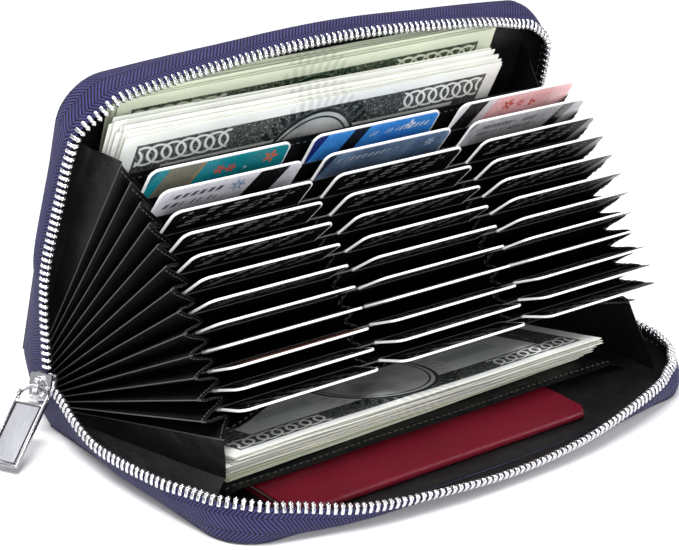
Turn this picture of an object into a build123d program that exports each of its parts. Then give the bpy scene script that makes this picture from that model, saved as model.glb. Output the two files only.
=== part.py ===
from build123d import *
import os
from math import acos, asin, atan2, cos, degrees, hypot, pi, radians, sin, tan

# A zip-around card wallet standing open, with twelve rows of card pockets.
# X runs along the fold, -Y points from the fold to the mouth of the front cover, +Z is up.
# The front cover lies flat and the origin is the middle of its underside. Millimetres and degrees.

# Covers, as one skin with two folds
cover_length = 198.0
cover_depth = 101.0
mouth_bow = 3.5
corner_radius = 15.0
spine_width = 27.0
spine_bulge = 2.5
leather_thickness = 1.1
fold_gap = 0.2
board_thickness = 0.6
board_inset = 5.0
board_fold_setback = 2.5
lining_thickness = 0.25
lining_inset = 1.3
lining_fold_setback = 2.0
spine_lining_thickness = 0.4
spine_lining_setback = 2.6

# How far the wallet stands open
open_angle = 75.7

# Zip tape: a flange sewn under the lining and a wall that carries the teeth
flange_width = 3.8
tape_thickness = 0.6
tape_height = 10.8
tape_fold_setback = 4.0
tape_fold_height = 2.6
taper_start = 17.0
taper_end = 30.0
taper_height = 4.6
front_side_lean = 25.0
front_corner_lean = 8.0
front_mouth_lean = 58.0
rear_side_lean = 15.0
rear_corner_lean = 6.0
rear_mouth_lean = 18.0
side_steps = 7
corner_steps = 6
mouth_steps = 14
tooth_pitch = 3.0
tooth_width = 1.7
tooth_depth = 2.4
tooth_height = 2.3
tooth_seat_gap = 0.05

# Zip ends, sewn to the ends of the spine
tail_setback = 1.9
tail_foot = 0.7
tail_thickness = 0.5
tail_base_inset = 0.9
tail_bulge = 4.0
tail_side_height = 22.0
tail_middle_height = 11.0
tail_middle_share = 0.42
tail_steps = 8

# Slider and pull tag
slider_length = 9.0
slider_width = 7.6
slider_plate = 1.1
slider_channel = 2.6
slider_post_length = 1.8
slider_post_width = 2.2
slider_outset = 5.6
slider_across_spine = 11.0
slider_reach = 13.6
slider_yaw = 30.0
slider_tilt = 20.0
slider_fillet = 1.6
slider_play = 0.1
slider_travel = 3.0
bail_length = 7.0
bail_width = 2.6
bail_strap = 1.0
bail_leg = 1.1
bail_opening = 2.4
tag_length = 33.0
tag_width = 11.5
tag_thickness = 1.7
tag_window_length = 4.8
tag_window_width = 7.4
tag_bar_radius = 0.7
tag_head = 0.8
tag_corner = 1.2
tag_ground_gap = 0.2
tag_border = 1.0
tag_recess = 0.25

# Cards and their leaves
card_length = 85.6
card_width = 54.0
card_thickness = 0.76
card_corner = 3.18
row_count = 12
single_card_rows = 2
column_count = 3
column_pitch = 63.3
block_offset = 5.0
card_face_gap = 0.05
card_side_gap = 0.1
card_foot_gap = 0.4
leaf_layer = 0.2
leaf_root_thickness = 0.6
leaf_root_length = 5.5
leaf_root_gap = 0.6
leaf_slot_floor = 6.5
leaf_mouth = 79.5
leaf_edge_margin = 0.6
hinge_lift = 0.3
row_pitch = 1.4
front_row_place = 5.6
first_row_angle = 58.5
last_row_angle = 19.2
row_curve_share = 0.112

# Walls of the accordion block
divider_thickness = 0.25
divider_root_gap = 0.5
divider_depth = 84.0
rear_divider_place = 21.9
rear_divider_angle = 62.6
front_divider_place = 4.7
front_divider_angle = 15.4

# Pleated ends of the accordion and the ends of the two note compartments
gusset_sheet = 0.6
gusset_root_radius = 3.0
gusset_mouth_radius = 86.0
gusset_block_gap = 0.45
left_ridge_root_inset = 7.65
left_ridge_mouth_inset = 3.65
right_ridge_root_inset = 2.35
right_ridge_mouth_inset = 0.05
compartment_inset = 3.4
compartment_valley = 3.6
compartment_plane_gap = 0.9
compartment_root_radius = 8.0
compartment_mouth_radius = 84.0

# Slip pocket with a passport, and banknotes
passport_length = 125.0
passport_depth = 88.0
passport_cover = 0.4
passport_pages = 0.8
passport_pages_inset = 2.0
passport_gap = 0.05
passport_mouth = 98.0
passport_left = 75.0
passport_corner = 4.0
pocket_fabric = 0.25
pocket_gap = 0.1
pocket_floor = 8.0
pocket_mouth = 76.0
pocket_side_inset = 8.5
note_length = 156.0
note_depth = 66.0
rear_notes_thickness = 0.9
rear_back_mouth = 97.5
rear_back_left = 84.0
rear_front_mouth = 95.5
rear_front_left = 90.0
rear_notes_gap = 0.3
front_notes_thickness = 0.4
front_low_mouth = 76.0
front_low_left = 89.0
front_high_mouth = 90.0
front_high_left = 80.0
front_notes_gap = 0.15

os.makedirs("parts", exist_ok=True)

half_length = cover_length / 2
half_leather = leather_thickness / 2
front_fold = Vector(0, cover_depth / 2, half_leather)
spine_lean = 90 - open_angle / 2
spine_direction = Vector(0, cos(radians(spine_lean)), sin(radians(spine_lean)))
spine_inward = Vector(0, -sin(radians(spine_lean)), cos(radians(spine_lean)))
rear_fold = front_fold + spine_direction * spine_width
board_top = half_leather + board_thickness
lining_top = board_top + lining_thickness
bow_half = half_length - corner_radius
bow_radius = (bow_half**2 + mouth_bow**2) / (2 * mouth_bow)
block_width = (column_count - 1) * column_pitch + card_width
block_left = block_offset - block_width / 2
leaf_left = block_left - leaf_edge_margin
leaf_right = block_left + block_width + leaf_edge_margin
leaf_thickness = card_thickness + 2 * card_face_gap + 2 * leaf_layer
column_centres = [block_left + card_width / 2 + n * column_pitch for n in range(column_count)]


def save(name, shape):
    """Write one sub-part."""
    shape.label = name
    export_step(shape, os.path.join("parts", name + ".step"))


def slab(left, right, near, far, low, high):
    """A box by its limits: x, distance from the fold towards the mouth, and height."""
    middle = Pos((left + right) / 2, -(near + far) / 2, (low + high) / 2)
    return middle * Box(right - left, far - near, high - low)


def on_front(shape):
    """Place a cover piece, made with its fold line at the origin, as the front cover."""
    return Pos(*front_fold) * shape


def on_rear(shape):
    """Place the same piece as the rear cover: turned over, then swung open."""
    return Pos(*rear_fold) * Rot(-open_angle, 0, 0) * mirror(shape, about=Plane.XY)


def hinge_point(place):
    """The line on the spine that a leaf swings about."""
    return front_fold + spine_direction * place + spine_inward * hinge_lift


def on_spine(shape, place, angle):
    """Place a leaf, made lying flat with its hinge line at the origin."""
    return Pos(*hinge_point(place)) * Rot(-angle, 0, 0) * shape


def skin(sections):
    """A closed solid through sections whose first half of corners faces the second half.

    Facing sides are cut along the same diagonal, so a twisted sheet keeps its thickness.
    """
    faces = []
    for near, far in zip(sections, sections[1:]):
        for n, (a, b, c, d) in enumerate(zip(near, near[1:] + near[:1], far[1:] + far[:1], far)):
            for corners in ((a, b, c), (a, c, d)) if 2 * n < len(near) else ((a, b, d), (b, c, d)):
                faces.append(Face(Wire.make_polygon([Vector(*p) for p in corners], close=True)))
    for end in (sections[0], sections[-1]):
        faces.append(Face(Wire.make_polygon([Vector(*p) for p in end], close=True)))
    solid = Solid(Shell(faces))
    return solid if solid.volume > 0 else Solid(Shell([-f for f in faces]))


def row_angle(row):
    """Opening angle of a card row, counted from the rear cover."""
    share = (row_count - 1 - row) / (row_count - 1)
    eased = (1 - row_curve_share) * share + row_curve_share * share**2
    return last_row_angle + (first_row_angle - last_row_angle) * eased


def row_place(row):
    """Where a card row is hinged, measured across the spine from the front fold."""
    return front_row_place + (row_count - 1 - row) * row_pitch


def cover_outline(inset, setback):
    """The cover's plan: square at the fold, rounded at the mouth, its mouth edge bowed."""
    side = half_length - inset
    mouth = -(cover_depth - inset)
    round_off = corner_radius - inset
    turn = round_off * (1 - cos(radians(45)))
    left_line = Line((-side, -setback), (-side, mouth + round_off))
    left_corner = ThreePointArc(left_line @ 1, (-side + turn, mouth + turn), (-side + round_off, mouth))
    mouth_edge = ThreePointArc(left_corner @ 1, (0, mouth - mouth_bow), (side - round_off, mouth))
    right_corner = ThreePointArc(mouth_edge @ 1, (side - turn, mouth + turn), (side, mouth + round_off))
    right_line = Line(right_corner @ 1, (side, -setback))
    fold_line = Line((side, -setback), (-side, -setback))
    return make_face([left_line, left_corner, mouth_edge, right_corner, right_line, fold_line])


def cover_plate(inset, setback, low, high):
    """A flat layer of a cover."""
    return Pos(0, 0, low) * extrude(cover_outline(inset, setback), high - low)


def cover_leather():
    """Outer skin of a cover, with a rounded edge that lies on the fold line."""
    edge = Rot(0, 90, 0) * Cylinder(half_leather, cover_length)
    return cover_plate(0, 0, -half_leather, half_leather) + edge


def cover_board():
    return cover_plate(board_inset, board_fold_setback, half_leather, board_top)


def cover_lining():
    return cover_plate(lining_inset, lining_fold_setback, board_top, lining_top)


def spine_leather():
    """The bowed skin between the folds."""
    start = half_leather + fold_gap
    rise = spine_bulge * 4 * start * (spine_width - start) / spine_width**2
    end = spine_width - start
    outer = ThreePointArc(
        (start, -rise - half_leather),
        (spine_width / 2, -spine_bulge - half_leather),
        (end, -rise - half_leather),
    )
    inner = ThreePointArc(
        (start, -rise + half_leather),
        (spine_width / 2, -spine_bulge + half_leather),
        (end, -rise + half_leather),
    )
    first_end = Line(outer @ 0, inner @ 0)
    last_end = Line(outer @ 1, inner @ 1)
    section = make_face([outer, last_end, inner, first_end])
    return spine_plane() * extrude(section, cover_length)


def spine_plane():
    """Across the spine, inward from it, along the fold."""
    return Plane(front_fold - Vector(half_length, 0, 0), x_dir=spine_direction, z_dir=Vector(1, 0, 0))


def spine_lining():
    """A strip stretched between the folds, which the leaves are sewn to."""
    width = spine_width - 2 * spine_lining_setback
    strip = Box(width, spine_lining_thickness, cover_length - 2 * lining_inset)
    return spine_plane() * Pos(spine_width / 2, 0, half_length) * strip


def tape_wall_height(distance):
    """Height of the zip tape at a distance from the fold along the cover's end."""
    if distance < taper_start:
        share = (distance - tape_fold_setback) / (taper_start - tape_fold_setback)
        return tape_fold_height + (taper_height - tape_fold_height) * share
    share = min(1, (distance - taper_start) / (taper_end - taper_start))
    return taper_height + (tape_height - taper_height) * share


def rim(side_lean, corner_lean, mouth_lean):
    """Stations round the cover's edge: x, y, outward direction, lean and tape height."""
    stations = []
    side_end = cover_depth - corner_radius
    sides = [tape_fold_setback, taper_start, taper_end]
    sides += [taper_end + (side_end - taper_end) * n / side_steps for n in range(1, side_steps)]
    for distance in sides:
        share = max(0, (distance - taper_end) / (side_end - taper_end))
        lean = side_lean + (corner_lean - side_lean) * share
        stations.append((-half_length, -distance, 180, lean, tape_wall_height(distance)))
    for n in range(corner_steps + 1):
        heading = 180 + 90 * n / corner_steps
        x = -bow_half + corner_radius * cos(radians(heading))
        y = -side_end + corner_radius * sin(radians(heading))
        stations.append((x, y, heading, corner_lean, tape_height))
    corner_end = len(stations)
    for n in range(1, mouth_steps):
        share = n / mouth_steps
        x = bow_half * (2 * share - 1)
        y = -cover_depth - mouth_bow + bow_radius - (bow_radius**2 - x**2) ** 0.5
        heading = 270 + degrees(asin(x / bow_radius))
        lean = corner_lean + (mouth_lean - corner_lean) * sin(pi * share)
        stations.append((x, y, heading, lean, tape_height))
    left_end = reversed(stations[:corner_end])
    return stations + [(-x, y, 540 - heading, lean, height) for x, y, heading, lean, height in left_end]


def tape_section(station):
    """Flange and wall of the tape at one station."""
    x, y, heading, lean, height = station
    out_x = cos(radians(heading))
    out_y = sin(radians(heading))
    rise = height * cos(radians(lean))
    reach = height * sin(radians(lean))
    thick_out = tape_thickness * cos(radians(lean))
    thick_up = tape_thickness * sin(radians(lean))
    inner_foot = board_thickness * tan(radians(lean)) - tape_thickness / cos(radians(lean))
    profile = (
        (-flange_width, half_leather),
        (0, half_leather),
        (reach, half_leather + rise),
        (reach - thick_out, half_leather + rise + thick_up),
        (inner_foot, board_top),
        (-flange_width, board_top),
    )
    return [(x + out * out_x, y + out * out_y, up) for out, up in profile]


def zip_tape(leans):
    return skin([tape_section(station) for station in rim(*leans)])


def top_of_tape(station):
    """The tape's top edge, its outward direction and its lean."""
    x, y, heading, lean, height = station
    mid = tape_thickness / 2
    out = height * sin(radians(lean)) - mid * cos(radians(lean))
    up = half_leather + height * cos(radians(lean)) + mid * sin(radians(lean))
    return Vector(x + out * cos(radians(heading)), y + out * sin(radians(heading)), up), heading, lean


def tooth(place, along, heading, lean):
    """One tooth standing on the tape's top edge."""
    upright = Vector(
        sin(radians(lean)) * cos(radians(heading)),
        sin(radians(lean)) * sin(radians(heading)),
        cos(radians(lean)),
    )
    seat = Plane(place + upright * (tooth_seat_gap + tooth_height / 2), x_dir=along, z_dir=upright)
    return seat * Box(tooth_width, tooth_depth, tooth_height)


def full_height(station):
    *_, height = station
    return height > tape_height - tape_thickness


def zip_teeth(leans):
    """Teeth spread evenly along the top edge, where the tape has its full height."""
    tops = [top_of_tape(station) for station in rim(*leans) if full_height(station)]
    total = sum((end - start).length for (start, *_), (end, *_) in zip(tops, tops[1:]))
    pitch = total / int(total / tooth_pitch)
    teeth = []
    travelled = pitch / 2
    for (start, heading_a, lean_a), (end, heading_b, lean_b) in zip(tops, tops[1:]):
        step = (end - start).length
        along = (end - start).normalized()
        while travelled < step:
            share = travelled / step
            heading = heading_a + (heading_b - heading_a) * share
            lean = lean_a + (lean_b - lean_a) * share
            teeth.append(tooth(start + (end - start) * share, along, heading, lean))
            travelled += pitch
        travelled -= step
    return teeth


def tail_height(place):
    """How far the zip's end reaches in from the spine: least where the two halves meet."""
    middle = spine_width * tail_middle_share
    span = middle - tail_setback if place < middle else spine_width - tail_setback - middle
    return tail_middle_height + (tail_side_height - tail_middle_height) * abs(place - middle) / span


def tail_outset(place):
    """How far the zip's end bulges past the end of the spine lining."""
    share = (place - tail_setback) / (spine_width - 2 * tail_setback)
    return tail_bulge * (1 - abs(2 * share - 1))


def tail_point(side, place, reach, outset):
    """A point on the zip's end, in the wallet's frame."""
    x = side * (half_length - tail_base_inset + tail_outset(place) + outset)
    point = front_fold + spine_direction * place + spine_inward * reach
    return (x, point.Y, point.Z)


def zip_tail(side):
    """The joined end of the zip: a cloth end, cut away where the slider sits in it."""
    head = spine_width * tail_middle_share
    last_foot = spine_width - tail_setback
    places = [tail_setback + (last_foot - tail_setback) * n / tail_steps for n in range(tail_steps + 1)]
    places.append(head)
    sections = []
    for place in sorted(places):
        top = tail_height(place)
        sections.append([
            tail_point(side, place, tail_foot, 0),
            tail_point(side, place, top, 0),
            tail_point(side, place, top, -tail_thickness),
            tail_point(side, place, tail_foot, -tail_thickness),
        ])
    cloth = skin(sections)
    return cloth - slider_space() if side < 0 else cloth


def slider_frame():
    """Slider axes: along its travel, across it, and outward from the tape."""
    out_flat = Vector(-cos(radians(slider_yaw)), -sin(radians(slider_yaw)), 0)
    outward = out_flat * cos(radians(slider_tilt)) + Vector(0, 0, sin(radians(slider_tilt)))
    travel = -out_flat * sin(radians(slider_tilt)) + Vector(0, 0, cos(radians(slider_tilt)))
    seat = front_fold + spine_direction * slider_across_spine + spine_inward * slider_reach
    centre = Vector(-half_length - slider_outset, seat.Y, seat.Z)
    return Plane(centre, x_dir=travel, z_dir=outward)


def slider_space():
    """Room for the slider over its travel, with play all round."""
    length = slider_length + slider_travel + 2 * slider_play
    width = slider_width + 2 * slider_play
    height = slider_channel + 2 * slider_plate + 2 * slider_play
    return slider_frame() * Pos(slider_travel / 2, 0, 0) * Box(length, width, height)


def zip_slider():
    """Two plates joined by a post, and the bail that carries the pull tag."""
    plate = extrude(RectangleRounded(slider_length, slider_width, slider_fillet), slider_plate)
    outer = Pos(0, 0, slider_channel / 2) * plate
    inner = Pos(0, 0, -slider_channel / 2 - slider_plate) * plate
    post_x = slider_length / 2 - slider_post_length
    post = Pos(post_x, 0, 0) * Box(slider_post_length, slider_post_width, slider_channel)
    bail_base = slider_channel / 2 + slider_plate
    leg_height = bail_opening + bail_strap
    leg_x = bail_length / 2 - bail_leg / 2
    leg = Pos(0, 0, bail_base + leg_height / 2) * Box(bail_leg, bail_width, leg_height)
    strap = Pos(0, 0, bail_base + bail_opening + bail_strap / 2) * Box(bail_length, bail_width, bail_strap)
    bail = strap + Pos(leg_x, 0, 0) * leg + Pos(-leg_x, 0, 0) * leg
    return slider_frame() * (outer + inner + post + bail)


def tag_pivot():
    """The middle of the tag's bar, inside the bail."""
    frame = slider_frame()
    return frame.origin + frame.z_dir * (slider_channel / 2 + slider_plate + bail_opening / 2)


def tag_rest_angle():
    """How far the tag swings out from the slider before its tip rests just clear of the ground."""
    reach = tag_length - tag_head
    half_tag = tag_thickness / 2
    drop = tag_pivot().Z - tag_ground_gap
    steepness = acos(drop / hypot(reach, half_tag)) + atan2(half_tag, reach)
    return degrees(steepness) - slider_tilt


def pull_tag():
    """A plain plate with a raised border, hung by a round bar at the head of its window."""
    frame = slider_frame()
    swing = radians(tag_rest_angle())
    down = -frame.x_dir * cos(swing) + frame.z_dir * sin(swing)
    plane = Plane(tag_pivot(), x_dir=down, z_dir=down.cross(frame.y_dir))
    plate = Pos(tag_length / 2 - tag_head, 0, -tag_thickness / 2) * extrude(
        RectangleRounded(tag_length, tag_width, tag_corner), tag_thickness
    )
    window_reach = tag_window_length + tag_bar_radius
    window_opening = Box(window_reach + 2 * tag_head, tag_window_width, 2 * tag_thickness)
    window = Pos(window_reach / 2 - tag_head, 0, 0) * window_opening
    bar = Rot(90, 0, 0) * Cylinder(tag_bar_radius, tag_window_width + tag_bar_radius)
    field_start = window_reach + 2 * tag_border
    field_length = tag_length - tag_head - field_start - tag_border
    field = Box(field_length, tag_width - 2 * tag_border, tag_recess)
    face = Pos(field_start + field_length / 2, 0, (tag_recess - tag_thickness) / 2) * field
    return plane * (plate - window + bar - face)


def card(centre, mouth):
    """One card, lying flat with its far end at the given distance from its hinge line."""
    outline = RectangleRounded(card_width, card_length, card_corner)
    return Pos(centre, -(mouth - card_length / 2), -card_thickness / 2) * extrude(outline, card_thickness)


def card_mouth():
    return leaf_slot_floor + card_foot_gap + card_length


def card_leaf():
    """A sewn leaf of two layers with a pocket for each column."""
    half = leaf_thickness / 2
    root_half = leaf_root_thickness / 2
    root = slab(leaf_left, leaf_right, leaf_root_gap, leaf_root_length, -root_half, root_half)
    body = slab(leaf_left, leaf_right, leaf_root_length, leaf_mouth, -half, half)
    leaf = root + body
    slot_half = card_thickness / 2 + card_face_gap
    slot_end = leaf_mouth + leaf_layer
    for centre in column_centres:
        reach = card_width / 2 + card_side_gap
        leaf -= slab(centre - reach, centre + reach, leaf_slot_floor, slot_end, -slot_half, slot_half)
    return leaf


def divider():
    """A single sheet that closes one side of the accordion."""
    half = divider_thickness / 2
    return slab(leaf_left, leaf_right, divider_root_gap, divider_depth, -half, half)


def fold_section(place, angle, x_root, x_mouth, root, mouth, shift):
    """The sheet along one fold line that runs out from the spine, moved along its normal."""
    origin = hinge_point(place)
    outward = Vector(0, -cos(radians(angle)), sin(radians(angle)))
    normal = Vector(0, sin(radians(angle)), cos(radians(angle)))
    near = origin + outward * root + normal * shift
    far = origin + outward * mouth + normal * shift
    half = gusset_sheet / 2
    return [
        (x_root - half, near.Y, near.Z),
        (x_mouth - half, far.Y, far.Z),
        (x_mouth + half, far.Y, far.Z),
        (x_root + half, near.Y, near.Z),
    ]


def pleats(folds, root, mouth):
    """A folded sheet through fold lines given as place, angle, x at the root and x at the mouth."""
    return skin([fold_section(*fold, root, mouth, 0) for fold in folds])


def accordion_gusset(side):
    """Bellows between the ends of the leaves: a ridge at each leaf and a valley between."""
    edge = leaf_left if side < 0 else leaf_right
    ridge_root = side * (half_length - (left_ridge_root_inset if side < 0 else right_ridge_root_inset))
    ridge_mouth = side * (half_length - (left_ridge_mouth_inset if side < 0 else right_ridge_mouth_inset))
    valley = edge + side * gusset_block_gap
    ridges = [(front_divider_place, front_divider_angle)]
    ridges += [(row_place(row), row_angle(row)) for row in reversed(range(row_count))]
    ridges.append((rear_divider_place, rear_divider_angle))
    folds = []
    for (place_a, angle_a), (place_b, angle_b) in zip(ridges, ridges[1:]):
        folds.append((place_a, angle_a, ridge_root, ridge_mouth))
        folds.append(((place_a + place_b) / 2, (angle_a + angle_b) / 2, valley, valley))
    folds.append((*ridges[-1], ridge_root, ridge_mouth))
    return pleats(folds, gusset_root_radius, gusset_mouth_radius)


def compartment_gusset(side, rear):
    """The single pleat that closes one end of a note compartment."""
    edge = side * (half_length - compartment_inset)
    valley = edge - side * compartment_valley
    if rear:
        wall = (rear_divider_place, rear_divider_angle)
        cover = (spine_width, open_angle)
        cover_shift = -(lining_top + compartment_plane_gap)
        wall_shift = compartment_plane_gap
    else:
        wall = (front_divider_place, front_divider_angle)
        cover = (0, 0)
        cover_shift = lining_top + compartment_plane_gap
        wall_shift = -compartment_plane_gap
    root = compartment_root_radius
    mouth = compartment_mouth_radius
    middle = ((wall[0] + cover[0]) / 2, (wall[1] + cover[1]) / 2)
    folds = ((wall, edge, wall_shift), (middle, valley, 0), (cover, edge, cover_shift))
    return skin([fold_section(*line, x, x, root, mouth, shift) for line, x, shift in folds])


def slip_pocket():
    """A sewn panel over the passport, open towards the mouth."""
    side = half_length - pocket_side_inset
    top = pocket_top()
    outer = slab(-side, side, pocket_floor, pocket_mouth, lining_top, top)
    inner = slab(
        -side + pocket_fabric,
        side - pocket_fabric,
        pocket_floor + pocket_fabric,
        pocket_mouth + pocket_fabric,
        lining_top - pocket_fabric,
        top - pocket_fabric,
    )
    return outer - inner


def passport_thickness():
    return 2 * passport_cover + passport_pages


def pocket_top():
    return lining_top + passport_gap + passport_thickness() + pocket_gap + pocket_fabric


def booklet(thickness, inset, low):
    """A rounded booklet block, its fold edge towards the mouth."""
    length = passport_length - 2 * inset
    outline = RectangleRounded(length, passport_depth - 2 * inset, passport_corner - inset)
    middle = Pos(passport_length / 2 - passport_left, -(passport_mouth - passport_depth / 2), low)
    return middle * extrude(outline, thickness)


def passport():
    """Cover and pages of the booklet in the slip pocket."""
    low = lining_top + passport_gap
    block = booklet(passport_thickness(), 0, low)
    hollow = booklet(passport_pages, passport_pages_inset, low + passport_cover)
    return block - hollow, hollow


def note_bundle(left, mouth, low, thickness):
    return slab(-left, note_length - left, mouth - note_depth, mouth, low, low + thickness)


def build_covers():
    leather = cover_leather()
    save("leather_front", on_front(leather))
    save("leather_rear", on_rear(leather))
    save("leather_spine", spine_leather())
    save("board_front", on_front(cover_board()))
    save("board_rear", on_rear(cover_board()))
    save("lining_front", on_front(cover_lining()))
    save("lining_rear", on_rear(cover_lining()))
    save("lining_spine", spine_lining())


def build_zip():
    front = (front_side_lean, front_corner_lean, front_mouth_lean)
    rear = (rear_side_lean, rear_corner_lean, rear_mouth_lean)
    save("zip_tape_front", on_front(zip_tape(front)))
    save("zip_tape_rear", on_rear(zip_tape(rear)))
    save("zip_teeth_front", Compound([on_front(piece) for piece in zip_teeth(front)]))
    save("zip_teeth_rear", Compound([on_rear(piece) for piece in zip_teeth(rear)]))
    save("zip_tail_left", zip_tail(-1))
    save("zip_tail_right", zip_tail(1))
    save("zip_slider", zip_slider())
    save("pull_tag", pull_tag())


def build_accordion():
    for row in range(row_count):
        place = row_place(row)
        angle = row_angle(row)
        save(f"card_leaf_{row + 1:02d}", on_spine(card_leaf(), place, angle))
        cards = [card(centre, card_mouth()) for centre in column_centres]
        if row < single_card_rows:
            for column, piece in enumerate(cards):
                save(f"card_{row + 1:02d}_{column + 1}", on_spine(piece, place, angle))
        else:
            placed = [on_spine(piece, place, angle) for piece in cards]
            save(f"cards_row_{row + 1:02d}", Compound(placed))
    save("divider_rear", on_spine(divider(), rear_divider_place, rear_divider_angle))
    save("divider_front", on_spine(divider(), front_divider_place, front_divider_angle))
    save("gusset_accordion_left", accordion_gusset(-1))
    save("gusset_accordion_right", accordion_gusset(1))
    save("gusset_rear_left", compartment_gusset(-1, True))
    save("gusset_rear_right", compartment_gusset(1, True))
    save("gusset_front_left", compartment_gusset(-1, False))
    save("gusset_front_right", compartment_gusset(1, False))


def build_contents():
    save("slip_pocket", on_front(slip_pocket()))
    cover, pages = passport()
    save("passport_cover", on_front(cover))
    save("passport_pages", on_front(pages))
    on_lining = lining_top + rear_notes_gap
    back = note_bundle(rear_back_left, rear_back_mouth, on_lining, rear_notes_thickness)
    save("notes_rear_back", on_rear(back))
    on_divider = divider_thickness / 2 + rear_notes_gap
    front = note_bundle(rear_front_left, rear_front_mouth, on_divider, rear_notes_thickness)
    save("notes_rear_front", on_spine(front, rear_divider_place, rear_divider_angle))
    on_pocket = pocket_top() + front_notes_gap
    lower = note_bundle(front_low_left, front_low_mouth, on_pocket, front_notes_thickness)
    save("notes_front_low", on_front(lower))
    under_divider = -divider_thickness / 2 - front_notes_gap - front_notes_thickness
    upper = note_bundle(front_high_left, front_high_mouth, under_divider, front_notes_thickness)
    save("notes_front_high", on_spine(upper, front_divider_place, front_divider_angle))


build_covers()
build_zip()
build_accordion()
build_contents()
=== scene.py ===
from functools import partialmethod
from math import asin, ceil, cos, pi, radians, sin, sqrt
from random import Random

import bmesh
import bpy
from mathutils import Matrix, Vector


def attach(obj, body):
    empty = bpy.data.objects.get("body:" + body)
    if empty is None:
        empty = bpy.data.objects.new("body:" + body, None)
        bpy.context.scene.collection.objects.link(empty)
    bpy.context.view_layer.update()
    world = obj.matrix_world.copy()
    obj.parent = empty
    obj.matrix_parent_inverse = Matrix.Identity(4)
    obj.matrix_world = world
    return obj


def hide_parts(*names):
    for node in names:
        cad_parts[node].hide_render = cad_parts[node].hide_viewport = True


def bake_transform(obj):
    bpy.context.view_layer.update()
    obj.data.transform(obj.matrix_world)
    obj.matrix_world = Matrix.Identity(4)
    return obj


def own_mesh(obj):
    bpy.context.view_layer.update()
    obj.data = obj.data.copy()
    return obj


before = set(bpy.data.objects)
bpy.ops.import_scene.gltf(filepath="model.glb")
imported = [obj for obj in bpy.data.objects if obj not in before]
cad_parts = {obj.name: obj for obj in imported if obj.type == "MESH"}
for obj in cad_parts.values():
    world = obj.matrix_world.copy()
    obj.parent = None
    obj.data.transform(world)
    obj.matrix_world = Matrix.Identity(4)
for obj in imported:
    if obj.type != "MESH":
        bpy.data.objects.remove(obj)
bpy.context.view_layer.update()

# The wallet's plan in millimetres, as the CAD has it

HALF = 99.0
DEPTH = 101.0
BOW = 3.5
CORNER = 15.0
SPINE = 27.0
BULGE = 2.5
LEATHER = 1.1
FOLD = Vector((0, 50.5, .55))
ACROSS = Vector((0, .6135, .7897))
INWARD = Vector((0, -.7897, .6135))
OPEN = radians(75.7)
REAR = FOLD + ACROSS * SPINE
COLUMNS = (-58.3, 5.0, 68.3)
LEAF = (-85.9, 95.9)
POCKET_MOUTH = 79.5
CARD = (54.0, 85.6, .76, 3.18)
CARD_MOUTH = 92.5
NOTE = (156.0, 66.0)
UP = Vector((0, 0, 1))
LEFT = Vector((-1, 0, 0))

# Hinges across the spine and their angles: the two dividers, the lowest leaf and the step to the next ones

FRONT_DIVIDER = (4.7, radians(15.4))
REAR_DIVIDER = (21.9, radians(62.6))
ROWS = 12
LOW_PLACE, PLACE_STEP = 5.6, 1.4
LOW_ANGLE, FAN, EVEN, WIDENING = 19.2, 39.3, .888, .112


def outward(angle):
    return Vector((0, -cos(angle), sin(angle)))


def upward(angle):
    return Vector((0, sin(angle), cos(angle)))


def at_x(x, point):
    point.x = x
    return point


def front(x, r, h):
    """A point over the front cover: along the fold, out from it and above the middle of the leather."""
    return Vector((x, FOLD.y - r, FOLD.z + h))


def rear(x, r, h):
    return at_x(x, REAR + outward(OPEN) * r - upward(OPEN) * h)


def spine(x, t, h):
    return at_x(x, FOLD + ACROSS * t + INWARD * h)


def leaf(x, hinge, r, n=0.0):
    """A point on a leaf whose hinge is (place across the spine, angle): out from it, off its plane."""
    place, angle = hinge
    return at_x(x, spine(x, place, .3) + outward(angle) * r + upward(angle) * n)


def row_hinge(row):
    share = (ROWS - row) / (ROWS - 1)
    angle = radians(LOW_ANGLE + FAN * (EVEN * share + WIDENING * share * share))
    return LOW_PLACE + PLACE_STEP * (ROWS - row), angle


def metres(point):
    return tuple(point * .001)


def smooth(value):
    value = min(1.0, max(0.0, value))
    return value * value * (3 - 2 * value)


def spread(low, high, count):
    """Evenly spread values, the two ends among them."""
    return [low + (high - low) * n / count for n in range(count + 1)]


def through(keys, at):
    """A smooth curve through keys of (place, value, value...)."""
    if at <= keys[0][0]:
        return keys[0][1:]
    if at > keys[-1][0]:
        return keys[-1][1:]
    n = next(n for n in range(len(keys) - 1) if at <= keys[n + 1][0])
    before, a, b, after = keys[max(0, n - 1)], keys[n], keys[n + 1], keys[min(len(keys) - 1, n + 2)]
    step = b[0] - a[0]
    share = (at - a[0]) / step
    result = []
    for v0, v1, v2, v3 in zip(before[1:], a[1:], b[1:], after[1:]):
        slope_a = (v2 - v0) / (b[0] - before[0]) * step
        slope_b = (v3 - v1) / (after[0] - a[0]) * step
        result.append(
            v1 * (2 * share**3 - 3 * share**2 + 1)
            + slope_a * (share**3 - 2 * share**2 + share)
            + v2 * (3 * share**2 - 2 * share**3)
            + slope_b * (share**3 - share**2)
        )
    return tuple(result)


# Mesh building


def ring_faces(low, high, sides):
    """Corners of the quads between two rings of points, each with its own place on the ring."""
    for k in range(sides):
        m = (k + 1) % sides
        yield k, m, [low + k, high + k, high + m, low + m]


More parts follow.
